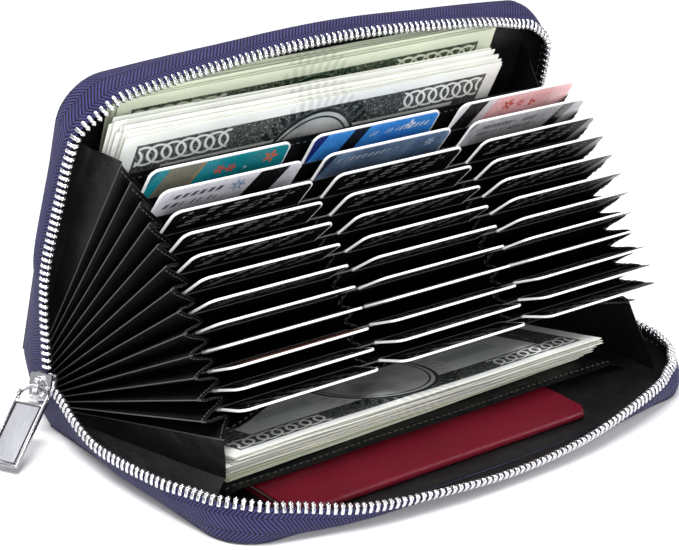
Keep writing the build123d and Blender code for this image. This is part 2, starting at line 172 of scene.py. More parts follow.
class Shape:
    """Collects points in millimetres, faces, UVs and material slots, and makes one object of them."""

    def __init__(self):
        self.points = []
        self.faces = []
        self.uvs = []
        self.slots = []

    def face(self, corners, uvs, slot=0):
        self.faces.append(corners)
        self.uvs.append(uvs)
        self.slots.append(slot)

    def sheet(self, grid, thickness, slots=(0, 0, 0), uv=None):
        """A closed sheet around a grid of points: its two sides and its edge have a slot each."""
        rows, cols = len(grid), len(grid[0])
        base = len(self.points)
        near, far = [], []
        for i in range(rows):
            for j in range(cols):
                down = grid[min(i + 1, rows - 1)][j] - grid[max(i - 1, 0)][j]
                along = grid[i][min(j + 1, cols - 1)] - grid[i][max(j - 1, 0)]
                normal = down.cross(along)
                normal.normalize()
                near.append(grid[i][j] + normal * thickness / 2)
                far.append(grid[i][j] - normal * thickness / 2)
        self.points += near + far
        if uv is None:
            across = [running(row) for row in grid]
            down = [running([row[j] for row in grid]) for j in range(cols)]
            uv = [[(across[i][j], down[j][i]) for j in range(cols)] for i in range(rows)]
        side = rows * cols
        for i in range(rows - 1):
            for j in range(cols - 1):
                corners = ((i, j), (i + 1, j), (i + 1, j + 1), (i, j + 1))
                marks = [uv[a][b] for a, b in corners]
                self.face([base + a * cols + b for a, b in corners], marks, slots[0])
                self.face([base + side + a * cols + b for a, b in corners[::-1]], marks[::-1], slots[1])
        ring = [(0, j) for j in range(cols)] + [(i, cols - 1) for i in range(1, rows)]
        ring += [(rows - 1, j) for j in range(cols - 2, -1, -1)] + [(i, 0) for i in range(rows - 2, 0, -1)]
        for (a, b), (c, d) in zip(ring, ring[1:] + ring[:1]):
            corners = [base + a * cols + b, base + c * cols + d]
            corners += [base + side + c * cols + d, base + side + a * cols + b]
            self.face(corners, [uv[a][b], uv[c][d], uv[c][d], uv[a][b]], slots[2])

    def stamp(self, template, matrix, slot=0):
        """A copy of a ready-made little mesh."""
        points, faces = template
        base = len(self.points)
        self.points += [matrix @ p for p in points]
        for corners in faces:
            marks = [(points[c].x + points[c].z, points[c].y) for c in corners]
            self.face([base + c for c in corners], marks, slot)

    def tube(self, line, radius, slot=0, sides=8):
        """A round bar along a line of points."""
        base = len(self.points)
        last = len(line) - 1
        for i, point in enumerate(line):
            axis = (line[min(i + 1, last)] - line[max(i - 1, 0)]).normalized()
            side = axis.cross(UP if abs(axis.z) < .9 else LEFT).normalized()
            other = axis.cross(side)
            for k in range(sides):
                turn = 2 * pi * k / sides
                self.points.append(point + (side * cos(turn) + other * sin(turn)) * radius)
        runs = running(line)
        for i in range(last):
            here, ahead = runs[i:i + 2]
            for k, _, corners in ring_faces(base + i * sides, base + (i + 1) * sides, sides):
                self.face(corners, [(here, k), (ahead, k), (ahead, k + 1), (here, k + 1)], slot)
        flat = [(0, k) for k in range(sides)]
        self.face([base + k for k in range(sides)], flat, slot)
        self.face([base + last * sides + k for k in reversed(range(sides))], flat, slot)

    def build(self, name, materials, sharp=40, nodes=(), body=None, slot=None):
        """Makes the object, and says which nodes it stands for and what it rides on. slot is not used."""
        mesh = bpy.data.meshes.new(name)
        mesh.from_pydata([p * .001 for p in self.points], [], self.faces)
        layer = mesh.uv_layers.new(name="UVMap")
        layer.data.foreach_set("uv", [c for marks in self.uvs for pair in marks for c in pair])
        for material in materials:
            mesh.materials.append(material)
        mesh.polygons.foreach_set("material_index", self.slots)
        mesh.polygons.foreach_set("use_smooth", [True] * len(self.faces))
        mesh.set_sharp_from_angle(angle=radians(sharp))
        built = bpy.data.objects.new(name, mesh)
        bpy.context.scene.collection.objects.link(built)
        if nodes:
            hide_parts(*nodes)
        if body:
            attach(built, body)
        return built


def running(line):
    """Length along a line of points, at each of them."""
    runs = [0.0]
    for a, b in zip(line, line[1:]):
        runs.append(runs[-1] + (b - a).length)
    return runs


def raised(outline, height, bevel=0.0, segments=2):
    """An outline raised to a height, its edges rounded by a bevel, as points and faces."""
    work = bmesh.new()
    low = [work.verts.new((x, y, -height / 2)) for x, y in outline]
    high = [work.verts.new((x, y, height / 2)) for x, y in outline]
    work.faces.new(low[::-1])
    work.faces.new(high)
    for a, b, c, d in zip(low, low[1:] + low[:1], high[1:] + high[:1], high):
        work.faces.new((a, b, c, d))
    if bevel:
        bmesh.ops.bevel(work, geom=work.edges[:], offset=bevel, segments=segments, profile=.5, affect="EDGES")
    work.verts.index_update()
    found = ([v.co.copy() for v in work.verts], [[v.index for v in f.verts] for f in work.faces])
    work.free()
    return found


def add_block(shape, place, size, centre, bevel, segments=2, slot=0):
    x, y, z = size
    outline = ((-x / 2, -y / 2), (x / 2, -y / 2), (x / 2, y / 2), (-x / 2, y / 2))
    shape.stamp(raised(outline, z, bevel, segments), place @ Matrix.Translation(centre), slot)


def axes(x, y, z, origin):
    return Matrix.Translation(origin) @ Matrix((x, y, z)).transposed().to_4x4()


def grain_of_thread(length=1.5, width=.34, rise=.26, sides=6):
    """One stitch, a small rounded grain lying on the cloth."""
    points, faces = [], []
    stations = ((-.5, .25), (-.3, .85), (0, 1), (.3, .85), (.5, .25))
    for share, size in stations:
        for k in range(sides):
            turn = 2 * pi * k / sides
            points.append(Vector((share * length, cos(turn) * width / 2 * size, sin(turn) * rise * size)))
    for i in range(len(stations) - 1):
        for k, m, _ in ring_faces(0, 0, sides):
            faces.append([i * sides + k, i * sides + m, (i + 1) * sides + m, (i + 1) * sides + k])
    faces.append(list(reversed(range(sides))))
    faces.append([len(points) - sides + k for k in range(sides)])
    return points, faces


THREAD = grain_of_thread()


def stitch(shape, line, ups, slot, pitch=2.8):
    """A row of stitches along a line of points, with one direction off the cloth or one for each point."""
    if not isinstance(ups, list):
        ups = [ups] * len(line)
    left = pitch / 2
    for a, b, up in zip(line, line[1:], ups):
        step = (b - a).length
        while left < step:
            along = (b - a) / step
            side = up.cross(along).normalized()
            shape.stamp(THREAD, axes(along, side, along.cross(side), a + along * left), slot)
            left += pitch
        left -= step


# Materials


class Value:
    """A number or colour in a material's node tree."""

    def __init__(self, tree, socket):
        self.tree = tree
        self.socket = socket

    def math(self, operation, *others):
        node = self.tree.nodes.new("ShaderNodeMath")
        node.operation = operation
        for slot, other in zip(node.inputs, (self, *others)):
            if isinstance(other, Value):
                self.tree.links.new(other.socket, slot)
            else:
                slot.default_value = other
        return Value(self.tree, node.outputs[0])

    __add__ = partialmethod(math, "ADD")
    __sub__ = partialmethod(math, "SUBTRACT")
    __mul__ = partialmethod(math, "MULTIPLY")
    __truediv__ = partialmethod(math, "DIVIDE")
    __neg__ = partialmethod(math, "MULTIPLY", -1.0)

    def outside(self):
        """1 where it is 0, and 0 where it is 1."""
        return -self + 1.0

    def over(self, limit, width):
        """0 below the limit, 1 above it, over a soft edge."""
        shifted = (self - limit) / width + .5
        return shifted.math("MAXIMUM", 0.0).math("MINIMUM", 1.0)

    def between(self, low, high, width=.15):
        return self.over(low, width) * self.over(high, width).outside()

    def wave(self, pitch):
        """A ridge of height 1 at every pitch."""
        return ((self / pitch).math("FRACT") - .5).math("ABSOLUTE") * 2.0

    def away(self, other):
        """Distance from the point where both are 0."""
        return (self * self + other * other).math("SQRT")


class Paint:
    """One material, and the values its patterns are made from."""

    def __init__(self, name, colour, rough, metal=0.0):
        self.material = bpy.data.materials.new(name)
        self.material.use_nodes = True
        self.tree = self.material.node_tree
        self.shader = self.tree.nodes["Principled BSDF"]
        self.set("Base Color", (*colour, 1))
        self.set("Roughness", rough)
        self.set("Metallic", metal)

    def set(self, name, value):
        self.fill(self.shader.inputs[name], value)

    def fill(self, socket, value):
        if isinstance(value, Value):
            self.tree.links.new(value.socket, socket)
        else:
            socket.default_value = value

    def finish(self, base, rough=None, bump=None, specular=None):
        """Sets the colour and what else is given, bump as height and millimetres, and gives the material."""
        self.set("Base Color", base)
        if rough is not None:
            self.set("Roughness", rough)
        if specular is not None:
            self.set("Specular IOR Level", specular)
        if bump:
            found = self.node("ShaderNodeBump")
            self.fill(found.inputs["Distance"], bump[1] * .001)
            self.fill(found.inputs["Strength"], 1.0)
            self.fill(found.inputs["Height"], bump[0])
            self.set("Normal", Value(self.tree, found.outputs[0]))
        return self.material

    def node(self, kind, **settings):
        node = self.tree.nodes.new(kind)
        for key, setting in settings.items():
            setattr(node, key, setting)
        return node

    def parts(self, source="UV"):
        """The first two parts of the place on the piece: its UVs, or its place in metres."""
        split = self.node("ShaderNodeSeparateXYZ")
        self.tree.links.new(self.node("ShaderNodeTexCoord").outputs[source], split.inputs[0])
        return Value(self.tree, split.outputs[0]), Value(self.tree, split.outputs[1])

    def texture(self, kind, size, stretch, source):
        """A texture whose pattern has a given size in millimetres."""
        scale = self.node("ShaderNodeMapping")
        unit = 1000 if source == "Object" else 1
        scale.inputs["Scale"].default_value = [unit / size * s for s in stretch]
        found = self.node(kind)
        found.inputs["Scale"].default_value = 1.0
        self.tree.links.new(self.node("ShaderNodeTexCoord").outputs[source], scale.inputs[0])
        self.tree.links.new(scale.outputs[0], found.inputs[0])
        return found

    def noise(self, size, detail=2.0, stretch=(1, 1, 1), source="Object", rough=.5):
        found = self.texture("ShaderNodeTexNoise", size, stretch, source)
        found.inputs["Detail"].default_value = detail
        found.inputs["Roughness"].default_value = rough
        return Value(self.tree, found.outputs[0])

    def cells(self, size):
        found = self.texture("ShaderNodeTexVoronoi", size, (1, 1, 1), "Object")
        return Value(self.tree, found.outputs["Distance"])

    def random(self, u, v):
        """A random number for each whole pair of u and v."""
        join = self.node("ShaderNodeCombineXYZ")
        self.fill(join.inputs[0], u.math("FLOOR"))
        self.fill(join.inputs[1], v.math("FLOOR"))
        found = self.node("ShaderNodeTexWhiteNoise", noise_dimensions="2D")
        self.tree.links.new(join.outputs[0], found.inputs["Vector"])
        return Value(self.tree, found.outputs["Value"])

    def mix(self, share, first, second):
        """The first colour where the share is 0, the second where it is 1."""
        blend = self.node("ShaderNodeMix", data_type="RGBA")
        for n, value in ((0, share), (6, first), (7, second)):
            self.fill(blend.inputs[n], (*value, 1) if isinstance(value, tuple) else value)
        return Value(self.tree, blend.outputs[2])


def leather_paint():
    paint = Paint("navy_leather", (.012, .012, .028), .42)
    grain = paint.cells(1.3)
    wear = paint.noise(14, 4)
    crease = paint.noise(4.5, 4, (1, .45, 1)).between(.47, .53, .03)
    colour = paint.mix(wear, (.006, .006, .018), (.018, .018, .045))
    colour = paint.mix(grain.over(.45, .5) * .5, colour, (.03, .03, .07))
    # The creases are painted darker: painted shade in them.
    colour = paint.mix(crease * .35, colour, (.004, .004, .01))
    rough = paint.noise(3, 3) * .3 + grain * .15 + .3
    return paint.finish(colour, rough, (grain * .8 + paint.noise(.45, 2) * .35 - crease * .3, .45), .38)


def twill_paint(name, groove_shade, thread, tint):
    """Herringbone tape: ribs slanting one way and the other in columns along the zip, with painted shade
    between the ribs and yarns and along the seams between the columns.
    """
    column_width, offset, slope, rib_pitch, yarn_pitch = 5.1, .6, .8, 1.3, .62
    paint = Paint(name, thread, .62)
    u, v = paint.parts()
    column = (v + offset) / column_width
    inside = column.math("FRACT")
    way = (column / 2.0).math("FRACT").over(.5, .02) * 2.0 - 1.0
    rib = (u + way * (inside * column_width) * slope).wave(rib_pitch)
    yarn = (v - way * u * .35).wave(yarn_pitch)
    seam = (inside - .5).math("ABSOLUTE").over(.47, .04)
    # The dark colour between the ribs and yarns and along the seams is painted shade.
    shade = rib.over(.5, .5) * (yarn * .6 + .4) * (-seam * .4 + 1.0)
    colour = paint.mix(shade, groove_shade, paint.mix(paint.noise(7, 3), thread, tint))
    return paint.finish(colour, .62, (rib + yarn * .35 - seam * .4, .38), .3)


def satin_paint(name, dark, light, pitch, rough, folds, tip=None):
    """Black satin with fine ribs and soft creases, and a painted sheen over them. Its ends on the right turn
    to the paler tip colour, a painted sheen.
    """
    tip_from, tip_width = 92.3, 6.0
    paint = Paint(name, dark, rough)
    rib = paint.parts()[1].wave(pitch)
    crease = paint.noise(11, 3, (1, .6, 1))
    # The lighter colour over the creases and ribs is a painted sheen.
    colour = paint.mix(crease * rib, dark, light)
    # The paler tip colour at the right ends is a painted sheen.
    if tip:
        place = paint.parts("Object")[0] * 1000.0
        colour = paint.mix(place.over(tip_from, tip_width) * (rib * .3 + .7), colour, tip)
    roughness = paint.noise(6, 2) * .2 + (rough - .08)
    return paint.finish(colour, roughness, (rib * .1 + crease * folds * 3.0, .3), .34)


def fine_paint(name, colour, rough, dark, tint_size, scuff, relief, metal=0.0):
    """A plain finish. dark is the share of its colour where it is darkest.

    scuff is the size, detail and range of the noise in its roughness and what is taken off first, and relief
    the size, detail, stretch and height of its bumps.
    """
    paint = Paint(name, colour, rough, metal)
    shade = paint.mix(paint.noise(tint_size, 2), tuple(c * dark for c in colour), colour)
    size, detail, stretch, height = relief
    roughness = None
    if scuff:
        roughness = paint.noise(scuff[0], scuff[1]) * scuff[2] + (rough - scuff[3])
    return paint.finish(shade, roughness, (paint.noise(size, detail, stretch), height))


def metal_paint(name, colour=(.78, .78, .8), rough=.2):
    return fine_paint(name, colour, rough, .86, 5, (.8, 3, .18, .06), (.25, 2, (1, 1, 1), .012), 1.0)


def thread_paint(name, colour):
    return fine_paint(name, colour, .7, .6, .5, None, (.12, 1, (1, 4, 4), .05))


def fibre_paint(name, rough, dark, light, fibre, relief):
    """Board and paper edges: one noise for their colour and their relief."""
    paint = Paint(name, light, rough)
    layers = paint.noise(*fibre)
    return paint.finish(paint.mix(layers, dark, light), None, (layers, relief))


def brushed_paint():
    """The tag's bare field: fine brushed lines."""
    paint = Paint("tag_field", (.3, .3, .32), .5, .7)
    line = paint.noise(.35, 3, (.06, 6, 1), "UV")
    colour = paint.mix(line.over(.5, .5), (.16, .16, .18), (.4, .4, .43))
    return paint.finish(colour, line * .25 + .38, (line, .05))


LEATHER_SKIN = leather_paint()
TAPE = twill_paint("tape_cloth", (.0015, .0012, .008), (.043, .036, .16), (.09, .078, .3))
# Each satin's lighter colour is a painted sheen; the leaf satin's last colour is a paler painted sheen at its
# right ends.
SATIN = satin_paint("lining_satin", (.0022, .0022, .0024), (.018, .018, .0195), .62, .38, 1.3)
LEAF_SATIN = satin_paint("leaf_satin", (.0018, .0018, .002), (.006, .006, .0065), .5, .42, .3, (.2, .2, .21))
PLEAT_SATIN = satin_paint("pleat_satin", (.002, .002, .0022), (.009, .009, .0095), .6, .4, .3)
METAL = metal_paint("zip_metal")
TAG_METAL = metal_paint("tag_metal", (.42, .42, .44))
TAG_FIELD = brushed_paint()
# The groove round the tag's field is painted near black: painted shade.
TAG_GROOVE_SHADE = metal_paint("tag_groove", (.035, .035, .04), .5)
THREAD_BLACK = thread_paint("black_thread", (.09, .09, .095))
THREAD_NAVY = thread_paint("navy_thread", (.12, .105, .3))
CARD_RIM = fine_paint("card_rim", (.82, .82, .83), .3, .93, 4, (1.5, 2, .15, .07), (.2, 2, (1, 1, 1), .01))
# Pale tubes along the pleats' ridges: painted highlights, paler on the right-hand pleats.
RIDGE_SHEEN = thread_paint("crease_sheen", (.085, .085, .088))
RIDGE_SHEEN_PALE = thread_paint("ridge_sheen_pale", (.3, .3, .31))
BOARD = fibre_paint("grey_board", .8, (.13, .115, .095), (.27, .25, .21), (.6, 4, (1, 3, 1)), .08)
NOTE_EDGE = fibre_paint("note_edge", .8, (.6, .59, .47), (.88, .87, .76), (.35, 2, (.04, 1, 1)), .1)
PAGE_EDGE = fibre_paint("page_edges", .8, (.35, .32, .24), (.66, .63, .52), (.3, 1, (.02, .3, 8)), .12)


# The walls of the zip: the cloth that stands round each cover, with its teeth

BOW_RADIUS = ((HALF - CORNER) ** 2 + BOW**2) / (2 * BOW)
SIDE_RUN = DEPTH - CORNER
CORNER_RUN = CORNER * pi / 2
MOUTH_RUN = 2 * BOW_RADIUS * asin((HALF - CORNER) / BOW_RADIUS)
RIM_RUN = 2 * SIDE_RUN + 2 * CORNER_RUN + MOUTH_RUN


def rim_foot(s):
    """Where the cover's edge is at a run from the left end of the fold: x, r and the outward direction."""
    way = -1 if s < RIM_RUN / 2 else 1
    s_end = min(s, RIM_RUN - s)
    if s_end <= SIDE_RUN:
        return way * HALF, max(0.0, s_end), way, 0.0
    if s_end < SIDE_RUN + CORNER_RUN:
        turn = (s_end - SIDE_RUN) / CORNER
        out_x, out_r = way * cos(turn), sin(turn)
        return way * (HALF - CORNER) + CORNER * out_x, SIDE_RUN + CORNER * out_r, out_x, out_r
    turn = (s - RIM_RUN / 2) / BOW_RADIUS
    return BOW_RADIUS * sin(turn), DEPTH + BOW - BOW_RADIUS * (1 - cos(turn)), sin(turn), cos(turn)


# Where the wall's top is at a run round the cover, out from the foot and above it, as the rows of teeth show

MIDDLE = RIM_RUN / 2
FRONT_KEYS = (
    (0, 4.6, 17.5), (12, 4.8, 16.4), (25, 6.8, 12.9), (40, 7.4, 10.0), (70, 5.5, 11), (86, 1.7, 12.1),
    (97.8, .1, 12.6), (109.6, 2.7, 11.3), (MIDDLE - 60, 8.7, 7.4), (MIDDLE - 30, 11.2, 5.5),
    (MIDDLE, 11.6, 4.2), (MIDDLE + 30, 11, 5.8), (MIDDLE + 55, 8.5, 8.8), (MIDDLE + 75, 4.7, 10.8),
    (277.8, .7, 11.6), (289.5, -2.6, 11.7), (301.3, .6, 12.1), (310.3, 3, 12.2), (327.3, 3, 12.4),
    (347.3, 4, 12.2), (362.3, 4.5, 13.5), (375.3, 4.6, 16.5), (RIM_RUN, 4.6, 17.5),
)
REAR_KEYS = (
    (0, 3, 19.2), (12, 3.2, 16.6), (25, 3.8, 13.4), (40, 3.9, 10.9), (62, 3, 11.3), (86, 1.6, 12.3),
    (97.8, -2.6, 12.4), (109.6, -1, 12.6), (150, .8, 11.4), (MIDDLE, 1.6, 10.4), (230, .9, 11.5),
    (262, -.4, 12.6), (277.8, -2.6, 11.5), (289.5, -2.8, 11.9), (301.3, .4, 12.5), (325, 3.2, 12.2),
    (345, 3, 12.6), (362.3, 3, 14), (375.3, 3, 16.8), (RIM_RUN, 3, 19.2),
)

# Where the two walls meet at the spine's ends, the walls' width and cloth, their seam, and the teeth

APEX = 12.0, 13.0
APEX_OUT = 5
END_RUN = 12
FRONT_SHIFT, REAR_SHIFT = 4.5, 3.5
WALL_WIDTH, SLACK = 12.9, .35
TAPE_THICK = .6
SEAM_SHARE, SEAM_PROBE, SEAM_OFF = .74, .05, .34
TOOTH_PITCH = 2.35
TEETH_SKIPPED = (5.0, .8)


def spine_rise(t):
    return BULGE * (1 - ((t - SPINE / 2) / (SPINE / 2)) ** 2)


class Wall:
    """One cover's zip wall: foot, control and top of its curved section at any run."""

    def __init__(self, cover, keys, bend):
        self.cover = cover
        self.is_front = cover is front
        self.keys = keys
        self.bend = bend
        self.tail = APEX[0] if self.is_front else SPINE - APEX[0]
        self.shift = FRONT_SHIFT if self.is_front else REAR_SHIFT

    def on_cover(self, s):
        x, r, out_x, out_r = rim_foot(s)
        lateral, height = through(self.keys, s)
        foot = self.cover(x, r, 0)
        aside = self.cover(x + out_x, r + out_r, 0) - foot
        inward = self.cover(x, r, 1) - foot
        back = self.shift * max(0.0, 1 - min(s, RIM_RUN - s) / END_RUN)
        top = foot + aside * lateral + inward * height
        return foot, aside, top + (self.cover(x, r + back, 0) - foot)

    def at(self, u):
        """Section at a run that starts and ends in the middle of the spine's ends."""
        if 0 <= u <= RIM_RUN:
            foot, aside, top = self.on_cover(u)
        else:
            side = -1 if u < 0 else 1
            beyond = -u if u < 0 else u - RIM_RUN
            t = beyond if self.is_front else SPINE - beyond
            _, aside, start = self.on_cover(0 if u < 0 else RIM_RUN)
            foot = spine(side * HALF, t, -spine_rise(t))
            top = start.lerp(spine(side * (HALF + APEX_OUT), *APEX), beyond / self.tail)
        chord = top - foot
        length = chord.length
        sag = length * sqrt(.375 * (max(length + SLACK, WALL_WIDTH) / length - 1))
        bulge = aside - chord * (aside.dot(chord) / chord.length_squared)
        bulge.normalize()
        return foot, foot + chord / 2 + bulge * 2 * sag, top, aside

    def point(self, u, share):
        foot, control, top, _ = self.at(u)
        return foot * (1 - share) ** 2 + control * 2 * share * (1 - share) + top * share**2

    def runs(self, step):
        low, high = -self.tail, RIM_RUN + self.tail
        return spread(low, high, ceil((high - low) / step))


def zip_wall(name, wall, node):
    """The cloth wall: herringbone outside, satin inside, stitched below the teeth."""
    shape = Shape()
    shares = (0, .06, .14, .26, .38, .5, .62, .74, .86, .95, 1)
    runs = wall.runs(2.2)
    grid = [[wall.point(u, share) for share in shares] for u in runs]
    probe = len(grid) // 2
    normal = (grid[probe + 1][5] - grid[probe][5]).cross(grid[probe][6] - grid[probe][5])
    faces_out = normal.dot(wall.at(runs[probe])[3]) > 0
    marks = [[(u, v) for v in running(row)] for u, row in zip(runs, grid)]
    shape.sheet(grid, TAPE_THICK, (0, 1, 0) if faces_out else (1, 0, 0), marks)
    line, ups = [], []
    runs = wall.runs(1.4)
    for u in runs:
        slope = wall.point(u, SEAM_SHARE + SEAM_PROBE) - wall.point(u, SEAM_SHARE - SEAM_PROBE)
        ahead = wall.point(min(u + .5, runs[-1]), SEAM_SHARE) - wall.point(u - .5, SEAM_SHARE)
        inward = ahead.normalized().cross(slope.normalized())
        if inward.dot(wall.at(u)[3]) > 0:
            inward = -inward
        line.append(wall.point(u, SEAM_SHARE) + inward * SEAM_OFF)
        ups.append(inward)
    stitch(shape, line, ups, 2)
    return shape.build(name, [TAPE, SATIN, THREAD_BLACK], 60, (node,), slot="zip_cloth")


def tooth_template():
    """A zip tooth: two legs that grip the cloth, a head across them and a nib on the head."""
    shape = Shape()
    for size, centre, bevel in (
        ((1.25, .95, 2.0), (0, .74, -.45), .3),
        ((1.25, .95, 2.0), (0, -.74, -.45), .3),
        ((1.15, 2.3, 1.1), (0, 0, .45), .35),
        ((1.55, 1.9, 1.15), (0, 0, 1.2), .46),
        ((.6, .9, .4), (0, 0, 1.85), .15),
    ):
        add_block(shape, Matrix(), size, centre, bevel)
    return shape.points, shape.faces


def zip_teeth(name, wall, node):
    """Metal teeth astride the wall's top edge, all the way to the slider."""
    shape = Shape()
    template = tooth_template()
    sections = [wall.at(u) for u in wall.runs(.5)]
    marks = running([top for _, _, top, _ in sections])
    first, last = TEETH_SKIPPED
    count = int((marks[-1] - first - last) / TOOTH_PITCH)
    pitch = (marks[-1] - first - last) / count
    n = 0
    for k in range(count):
        want = first + pitch * (k + .5)
        while marks[n + 1] < want:
            n += 1
        _, control, top, _ = sections[n]
        after = sections[n + 1][2]
        stand = (top - control).normalized()
        along = (after - top).normalized()
        across = stand.cross(along).normalized()
        place = top.lerp(after, (want - marks[n]) / (marks[n + 1] - marks[n]))
        shape.stamp(template, axes(along, across, along.cross(across), place))
    return shape.build(name, [METAL], 50, (node,))


def blend_fold(piece, is_front, start, end):
    """Bakes the piece's place into its mesh. It does not bend with the wallet's fold between the two points
    of the skin.
    """
    metres(start)
    metres(end)
    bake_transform(piece)


# The lines given as each wall's bend, one leading up to the slider, the other over the rear fold; nothing
# bends along them.

FRONT_LEAN = Vector((0, .5, .866))
FRONT_FOOT = Vector((0, 31, 0))
FRONT_BEND = FRONT_FOOT + FRONT_LEAN * (26.5 - FRONT_FOOT.dot(FRONT_LEAN))
REAR_LEAN = outward(OPEN) * -.5 - upward(OPEN) * .866
front_wall = Wall(front, FRONT_KEYS, (FRONT_BEND, FRONT_BEND + FRONT_LEAN * 12))
rear_wall = Wall(rear, REAR_KEYS, (REAR + REAR_LEAN * 12.8, REAR + REAR_LEAN * .8))
for make, name, node in ((zip_wall, "zip_wall_", "zip_tape_"), (zip_teeth, "teeth_", "zip_teeth_")):
    for end, wall in (("front", front_wall), ("rear", rear_wall)):
        blend_fold(make(name + end, wall, node + end), wall.is_front, *wall.bend)


# The leather: one skin, drawn as two halves that meet in the middle of the spine

SKIN_BEND = 2.0
SKIN_END = 13.5
SEAM_INSET, SEAM_END, SEAM_LOW = 3, 6, .56


def reach(x, inset=0.0):
    """How far the cover goes from its fold at a place along it."""
    x = min(abs(x), HALF - inset - .001)
    corner = HALF - CORNER
    if x <= corner:
        return DEPTH + BOW - BOW_RADIUS + sqrt(BOW_RADIUS**2 - x * x) - inset
    return SIDE_RUN + sqrt(max(0.0, (CORNER - inset) ** 2 - (x - corner) ** 2))


def cover_columns(inset=0.0):
    corner = HALF - CORNER
    side = [corner + (CORNER - inset) * sin(radians(a)) for a in (0, 15, 30, 45, 58, 69, 78, 84, 90)]
    return [-x for x in reversed(side)] + spread(-corner, corner, 28)[1:-1] + side


def leather_skin(name, cover, nodes):
    shape = Shape()
    is_front = cover is front
    columns = cover_columns()

    def on_spine(x, run):
        t = run if is_front else SPINE - run
        return spine(x, t, -spine_rise(t))

    grid = []
    for share in spread(1, 0, 30):
        grid.append([cover(x, SKIN_BEND + (reach(x) - SKIN_BEND) * share, 0) for x in columns])
    for share in spread(0, 1, 5)[1:]:
        grid.append([
            cover(x, SKIN_BEND, 0) * (1 - share) ** 2 + cover(x, 0, 0) * 2 * share * (1 - share)
            + on_spine(x, SKIN_BEND) * share**2 for x in columns
        ])
    grid += [[on_spine(x, run) for x in columns] for run in spread(SKIN_BEND, SKIN_END, 9)[1:]]
    marks = [[(x, run) for x in columns] for run in running([row[17] for row in grid])]
    shape.sheet(grid, LEATHER, uv=marks)
    shape.tube([cover(*rim_foot(s)[:2], 0) for s in spread(0, RIM_RUN, 160)], LEATHER / 2 - .01)
    if not is_front:
        line = []
        for s in spread(SEAM_END, RIM_RUN - SEAM_END, 120):
            x, r, out_x, out_r = rim_foot(s)
            line.append(cover(x - out_x * SEAM_INSET, r - out_r * SEAM_INSET, -SEAM_LOW))
        stitch(shape, line, upward(OPEN), 1, 3.2)
    built = shape.build(name, [LEATHER_SKIN, THREAD_NAVY], 50, nodes, slot="navy_leather")
    ends = cover(0, 1.2, 0), spine(0, SKIN_BEND if is_front else SPINE - SKIN_BEND, 0)
    blend_fold(built, is_front, *(ends if is_front else ends[::-1]))


leather_skin("leather_skin_front", front, ("leather_front", "leather_spine"))
leather_skin("leather_skin_rear", rear, ("leather_rear",))


# Linings and boards, with the thickness of the soft cloths

CLOTH = .3
PLEAT_CLOTH = .26
WEB_CLOTH = .22
THIN_CLOTH = .2
LINING_FROM, LINING_RISE, LINING_PAST = 2.6, 1.22, .25
LINING_TURN, LINING_DROP = 1.5, .5


def cover_lining(end, cover):
    """Satin on a cover, turned down over the leather's edge."""
    shape = Shape()
    columns = cover_columns(-LINING_PAST)
    shares = [n / 40 for n in range(41)]

    def spot(x, share):
        far = reach(x, -LINING_PAST)
        r = LINING_FROM + (far - LINING_FROM) * (1 - share)
        edge = min(far - r, HALF + LINING_PAST - abs(x))
        wave = .12 * sin(x * .11 + r * .05) * sin(r * .09 + 1.3) + .05 * sin(x * .31 - r * .23)
        return cover(x, r, LINING_RISE + wave - LINING_DROP * (1 - smooth(edge / LINING_TURN)))

    grid = [[spot(x, share) for x in columns] for share in shares]
    shape.sheet(grid, THIN_CLOTH, uv=[[(x, 100 * share) for x in columns] for share in shares])
    shape.build("satin_" + end, [SATIN], 40, ("lining_" + end,), end + "_cover", "black_lining")


cover_lining("front", front)
cover_lining("rear", rear)

shape = Shape()
shape.sheet([[spine(x, t, .3 + .08 * sin(x * .2) * sin(t * .6)) for x in spread(-97, 97, 40)]
             for t in (1.8, 3, 6, 9, 12, 15, 18, 21, 24, 25.2)], CLOTH)
shape.build("satin_spine", [SATIN], 40, ("lining_spine",), "spine", "black_lining")

for node in ("board_front", "board_rear"):
    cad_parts[node].material_slots[0].material = BOARD


# The joined ends of the zip, the slider and its tag


def tail_patch(end, side):
    """Satin behind the joined end of the zip."""
    shape = Shape()
    grid = []
    for t in spread(1, 26, 12):
        wall, beyond = (front_wall, t) if t <= APEX[0] else (rear_wall, SPINE - t)
        u = -beyond if side < 0 else RIM_RUN + beyond
        grid.append([wall.point(u, share) + LEFT * side + INWARD * .2 for share in (.02, .2, .4, .6, .78)])
    shape.sheet(grid, CLOTH)
    shape.build("tail_satin_" + end, [SATIN], 40, ("zip_tail_" + end,), "spine", "zip_cloth")


tail_patch("left", -1)
tail_patch("right", 1)

# The slider's way, the way across it and out of it, its place, and the way the tag hangs

TRAVEL = Vector((.2962, .171, .9397))
SLIDER_ACROSS = Vector((-.5, .866, 0))
SLIDER_OUT = Vector((-.8138, -.4698, .342))
SLIDER = spine(-104.6, 11.0, 13.6)
TAG_DOWN = Vector((-.7187, -.415, -.5579))
TAG_FACE = Vector((-.4831, -.2789, .8299))
PIVOT = SLIDER + SLIDER_OUT * 3.56
slider_axes = axes(TRAVEL, SLIDER_ACROSS, SLIDER_OUT, SLIDER)
tag_axes = axes(TAG_DOWN, SLIDER_ACROSS * -1, TAG_FACE, PIVOT)


def shield(length, narrow, wide, count=9):
    """A slider plate's outline: narrow at its tail, wide at the mouths, with rounded corners."""
    half = []
    for n in range(count + 1):
        share = n / count
        width = narrow + (wide - narrow) * smooth(share * 1.6)
        width *= sqrt(max(0.0, 1 - (2 * share - 1) ** 8)) * .98 + .02
        half.append((-length / 2 + length * (1 - cos(pi * share)) / 2, width / 2))
    return [(x, -y) for x, y in half] + [(x, y) for x, y in reversed(half)]


def half_turn(steps, spot):
    """Points of a half turn: spot gives the place for its cosine and sine."""
    return [spot(cos(pi * n / steps), sin(pi * n / steps)) for n in range(steps + 1)]


# The slider: two plates, the flanges between them, the wedge that joins them, and the bail with its feet

